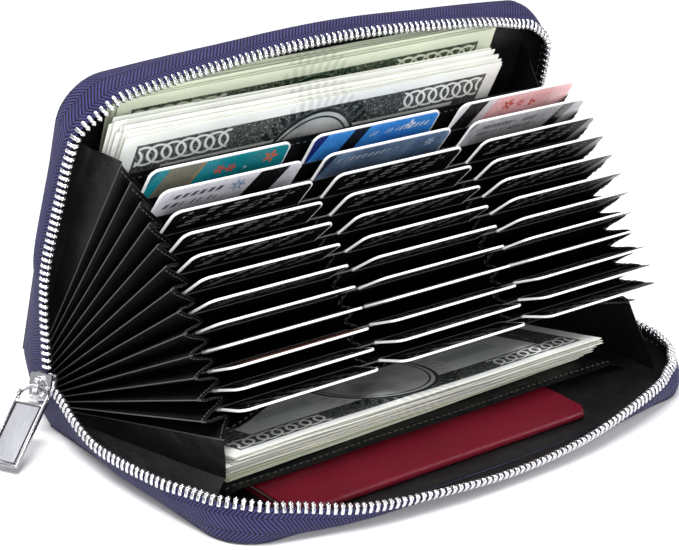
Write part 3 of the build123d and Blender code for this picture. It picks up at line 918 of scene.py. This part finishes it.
PLATE_OFF, BAIL_REACH, BAIL_FOOT, BAIL_RISE, BAIL_BAR = 1.85, 2.9, 2.1, 3.3, .52
shape = Shape()
plate = raised(shield(9.0, 5.2, 7.6), 1.1)
for side in (1, -1):
    shape.stamp(plate, slider_axes @ Matrix.Translation((0, 0, side * PLATE_OFF)))
    add_block(shape, slider_axes, (1.7, 2.6, .8), (side * BAIL_REACH, 0, 2.5), .25)
    for level in (1.0, -1.0):
        turned = Matrix.Translation((-1.0, side * 2.9, level)) @ Matrix.Rotation(side * -.1, 4, "Z")
        add_block(shape, slider_axes @ turned, (6.2, .55, .9), (0, 0, 0), .18)
add_block(shape, slider_axes, (1.9, 2.2, 2.7), (3.5, 0, 0), .35)


def bail_spot(along, up):
    return slider_axes @ Vector((-BAIL_REACH * along, 0, BAIL_FOOT + BAIL_RISE * up**.7))


bail = half_turn(14, bail_spot)
for offset in (-.5, 0, .5):
    shape.tube([p + SLIDER_ACROSS * offset for p in bail], BAIL_BAR, 0, 10)
shape.build("slider_metal", [METAL], 35, ("zip_slider",), "zip_slider", "zip_metal")

# The tag: its sides, its ends, the groove round its field, painted dark as shade, and the field

shape = Shape()
for part in (
    ((25.3, 1.15, 1.6), (16.9, -5.15, 0), .28, 3),
    ((25.3, 1.15, 1.6), (16.9, 5.15, 0), .28, 3),
    ((1.2, 11.4, 1.6), (28.95, 0, 0), .28, 3),
    ((1.3, 9.8, 1.6), (6.5, 0, 0), .28, 3),
    ((22.6, 9.4, .7), (17.7, 0, 0), .08, 1, 2),
    ((20.8, 8.1, 1.15), (17.7, 0, 0), .22, 3, 1),
):
    add_block(shape, tag_axes, *part)
LOOP_REACH, LOOP_HALF, LOOP_BAR = 4.3, 5.1, .72


def loop_spot(across, up):
    return tag_axes @ Vector((LOOP_REACH * (1 - up**.8), -LOOP_HALF * across, 0))


shape.tube(half_turn(18, loop_spot), LOOP_BAR, 0, 12)
shape.build("tag_plate", [TAG_METAL, TAG_FIELD, TAG_GROOVE_SHADE], 30, ("pull_tag",), "pull_tag", "tag_metal")


# The accordion: leaves, dividers, pleated ends and the webs between the columns

LEAF_ROOT = 1.6
DIVIDER_LENGTH = 82.4
SEAM_GAP, CARD_GAP = .12, .5
CARD_SPAN, SEAM_SLOPE = 27.9, 1.1
HINGES = [FRONT_DIVIDER] + [row_hinge(row) for row in range(ROWS, 0, -1)] + [REAR_DIVIDER]
LAST = len(HINGES) - 1
FOLD_POINT = FOLD + ACROSS * 13.3
PLEATS_KEPT, ENDS_KEPT, LIFT_KEPT = .22, .25, .12
VALLEY_OUT = 79.5


def pocket_share(x):
    """1 over a card, 0 along the seams between the columns."""
    return max(smooth((CARD_SPAN - abs(x - centre)) / SEAM_SLOPE) for centre in COLUMNS)


def leaf_columns():
    offsets = (28.8, CARD_SPAN, 27.3, 26.6, 25, 18, 9, 0)
    xs = {*LEAF, *(centre + way * off for centre in COLUMNS for off in offsets for way in (-1, 1))}
    return sorted(x for x in xs if LEAF[0] <= x <= LEAF[1])


def card_leaf(row):
    """Two layers of satin, held together by the seams, that gape over the cards."""
    shape = Shape()
    gape = 3 * Random(row).uniform(-.08, .12)

    def spot(x, r, side):
        body = pocket_share(x) * smooth((r - 4) / 3)
        gap = SEAM_GAP + (CARD_GAP - SEAM_GAP) * body
        gap += .1 * body * smooth((r - 60) / 20) * (1 + gape * sin(x * .21 + row))
        return leaf(x, row_hinge(row), r, side * gap)

    for side in (1, -1):
        rs = (LEAF_ROOT, 4, 5.5, 7, 12, 25, 40, 55, 66, 72, 76, 78, 79, POCKET_MOUTH)
        shape.sheet([[spot(x, r, side) for x in leaf_columns()] for r in rs], THIN_CLOTH, (0, 0, 1))
    shape.build(f"satin_leaf_{row:02d}", [LEAF_SATIN, THREAD_BLACK], 35, (f"card_leaf_{row:02d}",),
                f"leaf_{row:02d}", "leaf_cloth")


for row in range(1, ROWS + 1):
    card_leaf(row)


def flatten(piece, axis, point, keep):
    """Gives the piece its own copy of its mesh. It does not lie flat against the point that carries it as the
    wallet closes.
    """
    tuple(axis)
    metres(point)
    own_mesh(piece)


def divider(name, hinge, node, lift=0.0, scoop=0.0):
    """One of the accordion's outer walls: lift raises its middle, scoop cuts its mouth back there."""
    shape = Shape()
    xs = spread(*LEAF, 44)

    def at(x, share, off=0.0):
        middle = smooth(min(x - LEAF[0], LEAF[1] - x) / 26)
        r = LEAF_ROOT + (DIVIDER_LENGTH - scoop * middle - 5.5 * smooth((x - 78) / 17)) * share
        return leaf(x, hinge, r, off + .05 * sin(x * .13 + r * .07) + lift * middle * share**1.4)

    shares = (0, .08, .22, .4, .56, .7, .82, .91, .96, .99, 1)
    shape.sheet([[at(x, share) for x in xs] for share in shares], CLOTH)
    for side in (1, -1):
        stitch(shape, [at(x, .968, side * .2) for x in xs], upward(hinge[1]) * side, 1)
    built = shape.build(name, [SATIN, THREAD_BLACK], 40, (node,), node, "leaf_cloth")
    if lift:
        flatten(built, upward(hinge[1]), leaf(0, hinge, 0), LIFT_KEPT)


divider("satin_divider_front", FRONT_DIVIDER, "divider_front", 3.6, 5.0)
divider("satin_divider_rear", REAR_DIVIDER, "divider_rear")


def bellows(hinges, ridge, valley, valley_r, root=3.0, steps=5):
    """A pleated wall's grid, and how far each of its lines is from a ridge, from 0 to 1.

    Ridges lie at the leaves and valleys between them. ridge(n) is a ridge's x at its root and its mouth, and
    its mouth's r; valley is the two x of every valley.
    """
    lines = []
    for n, (before, after) in enumerate(zip(hinges, hinges[1:])):
        middle = (before[0] + after[0]) / 2, (before[1] + after[1]) / 2
        for half, (start, end) in enumerate(((before, middle), (middle, after))):
            for share in spread(0, 1, steps)[:-1]:
                bend = share + .10 * sin(2 * pi * share)
                hinge = start[0] + (end[0] - start[0]) * share, start[1] + (end[1] - start[1]) * bend
                lines.append((hinge, 1 - share if half else share, n + (half + share) / 2))
    lines.append((hinges[-1], 0, len(hinges) - 1))
    grid = []
    for share in spread(0, 1, 18):
        row = []
        for hinge, w, n in lines:
            root_x, mouth_x, mouth_r = ridge(n)
            near = root_x + (valley[0] - root_x) * w
            far = mouth_x + (valley[1] - mouth_x) * w
            sag = .35 * sin(share * 9 + n * 2.1) * w * (1 - w) * 4
            r = root + (mouth_r + (valley_r - mouth_r) * w - root) * share
            row.append(leaf(near + (far - near) * share**.9 + sag, hinge, r))
        grid.append(row)
    return grid, [w for _, w, _ in lines]


def left_ridge(n):
    """The mouths step inwards from the front ridge to the rear one; the front one starts further in."""
    root, mouth, step, tuck = -95.5, -98.4, 7.6, 6.0
    return root, mouth + step * n / LAST + tuck * (1 - smooth(n)), 90.5 - 1.5 * n / LAST


def right_ridge(n):
    """The outer two ridges are short and end further in."""
    root, mouth, mouth_r, longer = 96.8, 91.5, 80.0, 6.0
    inner = smooth(min(n, LAST - n))
    return root, mouth + 4.3 * inner, mouth_r + longer * inner


def accordion_end(end, ridge, valley, sheen):
    shape = Shape()
    grid, shares = bellows(HINGES, ridge, valley, VALLEY_OUT)
    marks = [[(j * 2.6, i * 4.6) for j in range(len(grid[0]))] for i in range(len(grid))]
    shape.sheet(grid, PLEAT_CLOTH, uv=marks)
    # A thin pale tube along each ridge: a painted highlight.
    for j, w in enumerate(shares):
        if w == 0:
            shape.tube([row[j] for row in grid], .2, 2, 6)
    inner, edge = grid[-2:]
    for j in range(0, len(edge) - 1, 5):
        line = [a.lerp(b, .35) for a, b in zip(edge[j:j + 6], inner[j:j + 6])]
        up = (line[-1] - line[0]).cross(inner[j] - edge[j]).normalized()
        for way in (1, -1):
            stitch(shape, [p + up * way * .16 for p in line], up * way, 1, 2.2)
    built = shape.build("pleats_" + end, [PLEAT_SATIN, THREAD_BLACK, sheen], 30, ("gusset_accordion_" + end,),
                        "spine", "black_lining")
    flatten(built, ACROSS, FOLD_POINT, PLEATS_KEPT)


accordion_end("left", left_ridge, (-88.5, -81.5), RIDGE_SHEEN)
accordion_end("right", right_ridge, (96.2, 89.0), RIDGE_SHEEN_PALE)


def column_web(name, centre):
    """The sewn fold that joins the leaves between two columns."""
    shape = Shape()
    grid, _ = bellows(HINGES[1:LAST], lambda n: (centre, centre, 79.3), (centre - 1.5, centre - 2.6), 77.5, 5)
    shape.sheet(grid, WEB_CLOTH)
    line = [a.lerp(b, .3) for a, b in zip(grid[-1], grid[-2])]
    for way in (1, -1):
        stitch(shape, [p + LEFT * way * .14 for p in line], LEFT * way, 1, 2.0)
    built = shape.build(name, [PLEAT_SATIN, THREAD_BLACK], 30, (), "spine", "leaf_cloth")
    flatten(built, ACROSS, FOLD_POINT, PLEATS_KEPT)


column_web("web_left", -26.65)
column_web("web_right", 36.65)


def compartment_end(end, side, cover, hinge):
    """The soft fold that closes one end of a note compartment, from the cover to the divider."""
    shape = Shape()
    is_front = cover is front
    is_left = side < 0
    foot_x, foot_rise, bend_x = 97.4, 1.5, 96
    middle = (2.4, hinge[1] / 2) if is_front else (24.4, (hinge[1] + OPEN) / 2)
    near, far = (-95.5, -92.4 if is_front else -90.8) if is_left else (97.2, 91.5)
    ridge_run = 87.0 if is_left else 77.0
    tuck = 6.4 if is_left and is_front else 3.2
    rows, columns = 24, 16
    grid = []
    for share in spread(0, 1, rows):
        r = 4 + 80 * share
        start = cover(side * foot_x, r, foot_rise)
        bend = leaf(side * (bend_x - tuck * share), middle, r)
        ridge = leaf(near + (far - near) * share, hinge, 3 + ridge_run * share)
        row = []
        for w in spread(0, 1, columns):
            first, second, v = (start, bend, w) if w < .5 else (bend, ridge, w - .5)
            ripple = .5 * sin(w * pi) * sin(share * 7 + w * 5) * share
            row.append(first.lerp(second, smooth(v * 2) * .5 + v) - LEFT * side * ripple)
        grid.append(row)
    marks = [[(j * 2.0, i * 3.4) for j in range(columns + 1)] for i in range(rows + 1)]
    shape.sheet(grid, PLEAT_CLOTH, uv=marks)
    built = shape.build("satin_end_" + end, [SATIN], 40, ("gusset_" + end,), "spine", "black_lining")
    flatten(built, ACROSS, FOLD_POINT, ENDS_KEPT)


for end, cover, hinge in (("front", front, FRONT_DIVIDER), ("rear", rear, REAR_DIVIDER)):
    compartment_end(end + "_left", -1, cover, hinge)
    compartment_end(end + "_right", 1, cover, hinge)


# Cards

CARD_SLANT = .32
RED_MOTIF = (.55, .07, .04)
BLACK_SLASH = (.006, .006, .007)
INK_BLACK = (.0015, .0015, .0018)
SOOT = (.004, .004, .0045)
SMALL_PRINT = (1.1, (.36, .36, .37), (2.0, 3.7, 5.4, 7.1, 8.8))
DIM = {"rough": .5, "cluster": 10.5, "gloss": .1}


def card_paint(name, ground, shade, bands, marks=None, dots=(), rough=.28, cluster=None, gloss=.5):
    """A printed card: a ground, slanted bands of (from, to, colour), and rows or rosettes of small marks.

    Marks are (from, to, pitch, colour, rows), and dots (x, y, size, petals, colour). With a cluster the rows
    are short, thin and set in slanted groups that far apart.
    """
    paint = Paint(name, ground, rough)
    u, v = paint.parts()
    lean = u + v * CARD_SLANT
    colour = paint.mix(paint.noise(17, 2).over(.5, .5), ground, shade)
    for low, high, tint in bands:
        colour = paint.mix(lean.between(low, high, .25), colour, tint)
    relief = paint.noise(.5, 2) * .05
    if marks:
        low, high, pitch, tint, levels = marks
        slanted = u + v * .6
        for level in levels:
            gap = paint.random(slanted / pitch, v * 0.0 + level)
            row = v.between(level, level + (.9 if cluster else 2.1), .3) * lean.between(low, high)
            ink = slanted.wave(pitch).over(.45, .25) * row * gap.over(.25, .02)
            if cluster:
                ink = ink * ((u + v * 1.1) / cluster).math("FRACT").over(.48, .06)
            colour = paint.mix(ink, colour, tint)
            relief = relief + ink * .9
    for x, y, size, petals, tint in dots:
        across, down = u - x, v - y
        away = across.away(down)
        lobe = (down.math("ARCTAN2", across) * petals).math("COSINE") * (size * .3) + size * .7
        ink = (lobe - away).over(0.0, .2) * away.over(size * .22, .12)
        colour = paint.mix(ink, colour, tint)
    paint.set("Coat Weight", gloss * .5)
    return paint.finish(colour, paint.noise(2, 2) * .12 + (rough - .06), (relief, .16), gloss)


CARD_FACES = {
    "teal": card_paint(
        "teal_card", (.004, .19, .235), (.008, .27, .31),
        ((7.5, 20.5, (.17, .165, .12)), (20, 21.2, (.3, .2, .09)), (0, 3.4, (.003, .1, .15))), None,
        ((27.5, 6.2, 2.3, 6, RED_MOTIF), (32, 6.6, 2.2, 6, RED_MOTIF), (47, 5.0, 3.0, 5, (.6, .14, .06)),
         (38, 7.8, .8, 3, (.6, .62, .62))),
    ),
    "blue": card_paint(
        "blue_card", (.016, .16, .56), (.07, .36, .86), ((0, 6, (.01, .02, .16)), (17, 23.5, BLACK_SLASH)),
        (25, 52, 2.2, (.62, .72, .85), (4.2,)), ((42, 4.2, 2.4, 4, (.75, .8, .9)),),
    ),
    "pink": card_paint(
        "pink_card", (.86, .42, .43), (.92, .56, .56),
        ((0, 4.4, (.8, .8, .82)), (4.4, 13, BLACK_SLASH), (13, 17, (.75, .72, .74))), None,
        ((24, 5.2, 2.7, 5, RED_MOTIF), (30, 5.6, 2.0, 6, (.62, .12, .1)), (36, 6.4, 1.9, 3, RED_MOTIF)),
    ),
    "white": card_paint(
        "lilac_card", (.7, .68, .76), (.78, .76, .82), ((37.5, 49, BLACK_SLASH),),
        (6, 26, 3.2, (.1, .1, .13), (3.4, 7.6)),
        ((30, 5.2, 3.1, 7, (.25, .36, .52)), (24.5, 8.4, 1.6, 5, (.86, .88, .9))),
    ),
    "slate": card_paint(
        "slate_card", (.05, .085, .16), (.2, .3, .46), ((0, 5, (.015, .02, .05)), (40, 52, (.1, .17, .3))),
        (8, 34, 2.6, (.4, .47, .58), (4.0,)), ((46, 5.0, 2.2, 6, (.45, .55, .68)),),
    ),
    "grey": card_paint(
        "grey_card", (.42, .42, .44), (.52, .52, .54), ((43, 49, BLACK_SLASH), (0, 3, (.2, .2, .22))),
        (8, 34, 1.9, (.09, .09, .1), (3.2, 6.6)), ((38.5, 5.6, 1.8, 5, (.7, .7, .74)),),
    ),
    "black": card_paint("black_card", INK_BLACK, SOOT, (), (6, 49, *SMALL_PRINT), **DIM),
    # The tipped card's grey band over its right end is a painted sheen.
    "sheen_tipped": card_paint(
        "tipped_card", INK_BLACK, SOOT, ((51, 80, (.3, .3, .31)),), (6, 46, *SMALL_PRINT), **DIM
    ),
    "umber": card_paint(
        "umber_card", (.14, .035, .02), (.26, .08, .05), ((0, 9, (.012, .01, .01)),),
        (12, 40, 2.1, (.3, .2, .16), (4.0,)), ((44, 5.6, 2.6, 5, (.4, .09, .06)),),
    ),
}


def rounded(width, length, radius, inset, steps=7):
    """A rounded rectangle shrunk by an inset, from the left corner of its mouth edge round: across, down."""
    outline = []
    for n, (x, y) in enumerate(((radius, radius), (width - radius, radius), (width - radius, length - radius),
                                (radius, length - radius))):
        for turn in spread(pi * (1 + n / 2), pi * (1.5 + n / 2), steps):
            outline.append((x + (radius - inset) * cos(turn), y + (radius - inset) * sin(turn)))
    return outline


def add_card(shape, centre, hinge, face, tilt=0.0, slide=0.0):
    """A card with rounded corners and edges. Its rim has the second material."""
    width, length, thick, radius = CARD
    half = thick / 2
    upper = ((.62, half), (.2, half), (.04, half - .06), (0, half - .22))
    rings = []
    for inset, n in upper + tuple((inset, -n) for inset, n in reversed(upper)):
        outline = rounded(width, length, radius, inset)
        rings.append((len(shape.points), outline))
        for across, down in outline:
            x, y = across - width / 2, down - length / 2
            r = CARD_MOUTH - slide - length / 2 - x * sin(tilt) - y * cos(tilt)
            shape.points.append(leaf(centre + x * cos(tilt) - y * sin(tilt), hinge, r, n))
    count = len(outline)
    for (low, flat), (high, other) in zip(rings, rings[1:]):
        for k, m, corners in ring_faces(low, high, count):
            shape.face(corners, [flat[k], other[k], other[m], flat[m]], 1)
    for (first, flat), order in ((rings[0], range(count)), (rings[-1], range(count)[::-1])):
        shape.face([first + k for k in order], [flat[k] for k in order], face)


def printed(shape, name, node, faces, slot):
    shape.build(name, faces, 55, (node,), node, slot)


for row, faces in ((1, ("teal", "blue", "pink")), (2, ("white", "slate", "grey"))):
    for column, face in enumerate(faces):
        shape = Shape()
        add_card(shape, COLUMNS[column], row_hinge(row), 0)
        node = f"card_{row:02d}_{column + 1}"
        printed(shape, "printed_" + node, node, [CARD_FACES[face], CARD_RIM], "card_" + face)

DARK_FACES = [CARD_FACES["black"], CARD_RIM, CARD_FACES["umber"], CARD_FACES["sheen_tipped"]]
for row in range(3, ROWS + 1):
    shape = Shape()
    chance = Random(100 + row)
    for column, centre in enumerate(COLUMNS):
        # The right column's cards in rows 3 to 8 get the painted sheen at their right ends.
        face = 2 if (row, column) == (10, 0) else 3 if column == 2 and row < 9 else 0
        add_card(shape, centre, row_hinge(row), face, chance.uniform(-.004, .004), chance.uniform(-.15, .25))
    printed(shape, f"printed_cards_{row:02d}", f"cards_row_{row:02d}", DARK_FACES, "card_black")


# Banknotes, with a made-up engraved border, loops and an empty oval


def note_paint(name, paper, ink, tone):
    """Generic engraving: a dark border with pale loops, a rosette, an empty hatched oval and fine lines."""
    half_x, half_y = NOTE[0] / 2, NOTE[1] / 2
    paint = Paint(name, paper, .72)
    u, v = paint.parts()
    side = (u - half_x).math("ABSOLUTE")
    rise = (v - half_y).math("ABSOLUTE")

    def past(margin_x, margin_y):
        return side.over(half_x - margin_x, .3).math("MAXIMUM", rise.over(half_y - margin_y, .3))

    # The border between two frames, and the leafage in it
    beyond = past(17, 14.5)
    within = beyond.outside()
    band = beyond * past(5.5, 4.2).outside()
    leafage = (paint.noise(7, 3, source="UV") * 34.0 + u * .3).math("SINE").math("ABSOLUTE")
    dense = band * (-leafage.between(.0, .22, .3) * .4 + 1.0) * ((v + u * .3).wave(.5) * .12 + .88)

    # Two chains of loops, half a loop apart, near the corners
    loop_pitch = 11.0
    pale = dense * 0.0
    for start in (1.5, 1.5 + loop_pitch / 2):
        off_x = ((u + start) / loop_pitch).math("FRACT") * loop_pitch - loop_pitch / 2
        ring = (off_x / 5.4).away((rise - (half_y - 9.3) + off_x * .18) / 4.3)
        pale = pale.math("MAXIMUM", (ring - .84).math("ABSOLUTE").over(.1, .06).outside())
    pale = pale * side.between(half_x - 42, half_x - 6.5, .4) * band

    # The oval, its rims and the rosette round it
    oval_r = 21.5
    across, down = u - half_x, (v - half_y) / 1.3
    away = across.away(down)
    off_oval = away.over(oval_r, .3)
    rim = away.between(oval_r - 1.1, oval_r, .2) + away.between(18.6, 19.2, .15)
    hatch = (u + v * .42).wave(.6).over(.45, .6)
    cloud = paint.noise(15, 3, source="UV", rough=.55)
    shade = off_oval.outside() * (hatch * .35 + .3 - (across * .016)) * (cloud.over(.5, .3) * .75 + .35)
    ray = (down.math("ARCTAN2", across) * 46.0).math("SINE").over(.0, .6) * away.between(22.5, 27, .8)

    # Fine lines and swirls in the field between the oval and the border
    field = within * off_oval
    lines = (v + (u * .09).math("SINE") * 1.6).wave(.62).over(.55, .4) * field * .22
    panel = field * side.between(28, 52, .4) * rise.between(2.0, 9.0, .4)
    swirl = (u * .9 + (v * 1.3).math("SINE") * 2.0).wave(1.5).over(.45, .4) * panel
    dark = (dense * off_oval + rim * .8 + shade + ray * .18 + lines + swirl * .6) * pale.outside()
    ground = paint.mix(paint.noise(22, 3).over(.5, .6), paper, tuple(c * .86 for c in paper))
    colour = paint.mix(dark.math("MINIMUM", 1.0), ground, ink)
    colour = paint.mix(field * side.between(26, 54, 3) * .4, colour, tone)
    return paint.finish(colour, .72, (paint.noise(3, 4) * .6 + dark * .15, .12), .15)


NOTE_THICK = .13
NOTE_FRONT = note_paint("note_print_cool", (.88, .9, .86), (.008, .014, .014), (.66, .74, .71))
NOTE_BACK = note_paint("note_print_green", (.78, .84, .66), (.008, .028, .008), (.62, .72, .5))


def add_note(shape, spot, chance, curl):
    """One note: spot gives a point for a place along it, a place up it and a rise off its plane."""
    phase = chance.uniform(0, 6)
    bow = chance.uniform(.4, 1) * curl
    marks = [[(a, b) for a in spread(0, NOTE[0], 30)] for b in spread(0, NOTE[1], 9)]

    def ripple(a, b):
        return bow * .35 * sin(a * .055 + phase) * (b / NOTE[1]) + bow * .12 * sin(a * .13 + b * .07 + phase)

    shape.sheet([[spot(a, b, ripple(a, b)) for a, b in row] for row in marks], NOTE_THICK, (0, 0, 1), marks)


def note_bundle(name, node, paint, left, far, place, fan, count, seed, curl, jitter, rest,
                slack=0.0, turn=0.0):
    """Notes fanned between two angles about a hinge's place.

    left and far are where the left ends and the far edges are, and jitter how much these differ. rest, the
    axis, point and share of a closing, is not used. slack draws the far edges back through the bundle, turn
    turns it.
    """
    shape = Shape()
    chance = Random(seed)
    for n in range(count):
        share = n / (count - 1)
        angle = radians(fan[0] + (fan[1] - fan[0]) * share)
        shift = chance.uniform(-jitter[0], jitter[0]) if n else 0.0
        pull = chance.uniform(0, jitter[1]) + slack * share
        tilt = turn + chance.uniform(-.01, .01)

        def spot(a, b, rise, angle=angle, shift=shift, pull=pull, tilt=tilt):
            r = far - pull - (NOTE[1] - b) + (a - NOTE[0] / 2) * tilt
            return leaf(left + a + shift, (place, angle), r, rise * smooth(b / 30))

        add_note(shape, spot, chance, curl)
    built = shape.build(name, [paint, NOTE_EDGE], 40, (node,), node, "note_paper")
    flatten(built, *rest)


note_bundle(
    "notes_against_cover", "notes_rear_back", NOTE_BACK, left=-83, far=98.0, place=26, fan=(74.6, 71.2),
    count=8, seed=3, curl=.4, jitter=(2.4, 1.4), rest=(upward(OPEN), rear(0, 0, 1.6), .12),
)
note_bundle(
    "notes_against_leaves", "notes_rear_front", NOTE_FRONT, left=-88, far=95.5, place=23.4, fan=(64.8, 69.2),
    count=14, seed=5, curl=.35, jitter=(2.2, 2.2), slack=-1.4,
    rest=(upward(REAR_DIVIDER[1]), leaf(0, REAR_DIVIDER, 0, .2), .1),
)
note_bundle(
    "notes_on_pocket", "notes_front_low", NOTE_BACK, left=-82, far=72.5, place=1.8, fan=(3.1, 4.6),
    count=6, seed=9, curl=.4, jitter=(1.5, 2.5), turn=-.028, rest=(UP, front(0, 0, 5.1), .06),
)
note_bundle(
    "notes_under_leaves", "notes_front_high", NOTE_FRONT, left=-88.5, far=89, place=2.2, fan=(12.6, 6.6),
    count=15, seed=11, curl=.6, jitter=(2.4, 2.5), slack=10.0,
    rest=(upward(FRONT_DIVIDER[1]), leaf(0, FRONT_DIVIDER, 0, -.15), .03),
)


# Passport and slip pocket: places along the fold, out from it and above the cover

BOOKLET_LEFT, BOOKLET_RIGHT = -75, 50
BOOKLET_BACK, BOOKLET_FOLD = 10, 98
BOOKLET_LOW, BOOKLET_HIGH = 1.6, 4.2
BOOKLET_CORNER = 3.2
BOOKLET_COVER, PAGE, PAGE_LOW, PAGE_STEP, PAGES = .45, .22, 2.1, .25, 7
POCKET_HALF, POCKET_SIDE, POCKET_FOOT = 90.5, 9, 7
POCKET_LOW, POCKET_RISE, POCKET_LIP = 1.55, 3.2, .25
STITCH_OUT, STITCH_LOW, STITCH_RISE = 74.8, 1.72, 3.4


def passport_paint():
    paint = Paint("passport_grain", (.12, .006, .014), .34)
    colour = paint.mix(paint.noise(16, 3), (.07, .001, .006), (.125, .0022, .012))
    relief = paint.cells(.55) * .5 + paint.noise(9, 3) * 1.6
    return paint.finish(colour, paint.noise(4, 3) * .18 + .24, (relief, .16), .3)


def booklet_section(steps=9):
    """Section across the booklet: under cover, round its fold at the mouth, upper cover."""
    middle, half = (BOOKLET_LOW + BOOKLET_HIGH) / 2, (BOOKLET_HIGH - BOOKLET_LOW) / 2
    turn_r = BOOKLET_FOLD - half
    turns = [-pi / 2 + pi * n / steps for n in range(1, steps)]
    line = [(r, BOOKLET_LOW) for r in spread(BOOKLET_BACK, turn_r, 8)]
    line += [(turn_r + half * cos(turn), middle + half * sin(turn)) for turn in turns]
    return line + [(r, BOOKLET_HIGH) for r in spread(turn_r, BOOKLET_BACK, 8)]


def booklet_spot(x, r, h):
    """Rounded corners and a slightly crowned, wavy upper cover."""
    beyond = max(0.0, BOOKLET_CORNER - min(x - BOOKLET_LEFT, BOOKLET_RIGHT - x))
    round_off = BOOKLET_CORNER - sqrt(max(0.0, BOOKLET_CORNER**2 - beyond**2))
    crown = .25 * smooth((r - 78) / 8) * smooth((99 - r) / 8) * (.75 + .25 * sin(x * .045))
    sway = .14 * sin(x * .05 + r * .03) + crown if h > 3 else 0.0
    return front(x, r - round_off * smooth((r - 80) / 12), h + sway)


shape = Shape()
xs = spread(BOOKLET_LEFT, BOOKLET_RIGHT, 50)
shape.sheet([[booklet_spot(x, r, h) for x in xs] for r, h in booklet_section()], BOOKLET_COVER)
shape.build("booklet_cover", [passport_paint()], 40, ("passport_cover",), "passport", "passport_cover")

shape = Shape()
for n in range(PAGES):
    h = PAGE_LOW + PAGE_STEP * n
    grid = []
    for r in (12, 40, 70, 95.5):
        grid.append([front(x, r, h + .03 * sin(x * .2 + n)) for x in (-73.5, -40, 0, 30, 48.8)])
    shape.sheet(grid, PAGE)
shape.build("booklet_pages", [PAGE_EDGE], 40, ("passport_pages",), "passport", "passport_pages")


def pocket_spot(x, r, low, high, lip=0.0):
    """The slip pocket swells away from its sewn sides."""
    rise = smooth((POCKET_HALF - abs(x)) / POCKET_SIDE) * smooth((r - POCKET_FOOT) / POCKET_FOOT)
    return front(x, r, low + (high + lip + .18 * sin(x * .09 + r * .05)) * rise)


shape = Shape()
xs = spread(-POCKET_HALF, POCKET_HALF, 60)
rs = (8, 9, 10.5, 13, 18, 28, 40, 52, 62, 68, 72, 75, 77, 77.5)
grid = []
for r in rs:
    lip = POCKET_LIP * smooth((r - 70) / 6)
    grid.append([pocket_spot(x, r, POCKET_LOW, POCKET_RISE, lip) for x in xs])
shape.sheet(grid, CLOTH)
stitch(shape, [pocket_spot(x, STITCH_OUT, STITCH_LOW, STITCH_RISE) for x in xs[2:-2]], UP, 1, 2.6)
shape.build("satin_pocket", [SATIN, THREAD_BLACK], 40, ("slip_pocket",), "front_cover", "black_lining")


# The table, the light and the camera: metres from here on

TABLE_SIZE, TABLE_DROP = 6, .0002
bpy.ops.mesh.primitive_plane_add(size=TABLE_SIZE, location=(0, 0, -TABLE_DROP))
table = bpy.context.object
table.name = "table_top"
top = Paint("pale_table", (.82, .82, .82), .9)
table.data.materials.append(top.finish(top.mix(top.noise(120, 2), (.8, .8, .8), (.84, .84, .84))))

scene = bpy.context.scene
for name, place, aim, size, power in (
    ("key", (-.45, -.3, 1.15), (0, 0, .04), (.55, .45), 16),
    ("side", (.9, -.6, .6), (0, .02, .05), (.4, .5), 4),
    ("fill", (-.5, -1.0, .38), (0, 0, .06), (.5, .35), 8),
    ("back", (-.3, .8, .95), (0, .05, .05), (.9, .4), 8),
):
    light = bpy.data.lights.new(name, "AREA")
    light.shape = "RECTANGLE"
    light.size, light.size_y = size
    light.energy = power
    holder = bpy.data.objects.new(name, light)
    holder.location = place
    holder.rotation_euler = (Vector(aim) - Vector(place)).to_track_quat("-Z", "Y").to_euler()
    scene.collection.objects.link(holder)

# The world is a soft light, and plain white to the camera

scene.world = bpy.data.worlds.new("studio")
scene.world.use_nodes = True
nodes, links = scene.world.node_tree.nodes, scene.world.node_tree.links
choose = nodes.new("ShaderNodeMixShader")
for socket, background, colour, strength in (
    (1, nodes["Background"], (.95, .97, 1, 1), .4),
    (2, nodes.new("ShaderNodeBackground"), (1, 1, 1, 1), 1.0),
):
    background.inputs["Color"].default_value = colour
    background.inputs["Strength"].default_value = strength
    links.new(background.outputs[0], choose.inputs[socket])
links.new(nodes.new("ShaderNodeLightPath").outputs["Is Camera Ray"], choose.inputs[0])
links.new(choose.outputs[0], nodes["World Output"].inputs["Surface"])

# The camera's place and turns, solved on the corners of the cards and of the covers

EYE = Vector((-.41843, -.46738, .30221))
AZIMUTH, DROP, ROLL = .703418, .385671, .04664
SENSOR, LENS = 36, 109.2
lens = bpy.data.cameras.new("camera")
lens.sensor_fit = "HORIZONTAL"
lens.sensor_width = SENSOR
lens.lens = LENS
lens.clip_start = .05
camera = bpy.data.objects.new("camera", lens)
ahead = Vector((sin(AZIMUTH) * cos(DROP), cos(AZIMUTH) * cos(DROP), -sin(DROP)))
level = Vector((cos(AZIMUTH), -sin(AZIMUTH), 0))
upright = level.cross(ahead)
camera.matrix_world = axes(
    level * cos(ROLL) + upright * sin(ROLL), level * -sin(ROLL) + upright * cos(ROLL), -ahead, EYE
)
scene.collection.objects.link(camera)
scene.camera = camera
scene.view_settings.view_transform = "Standard"
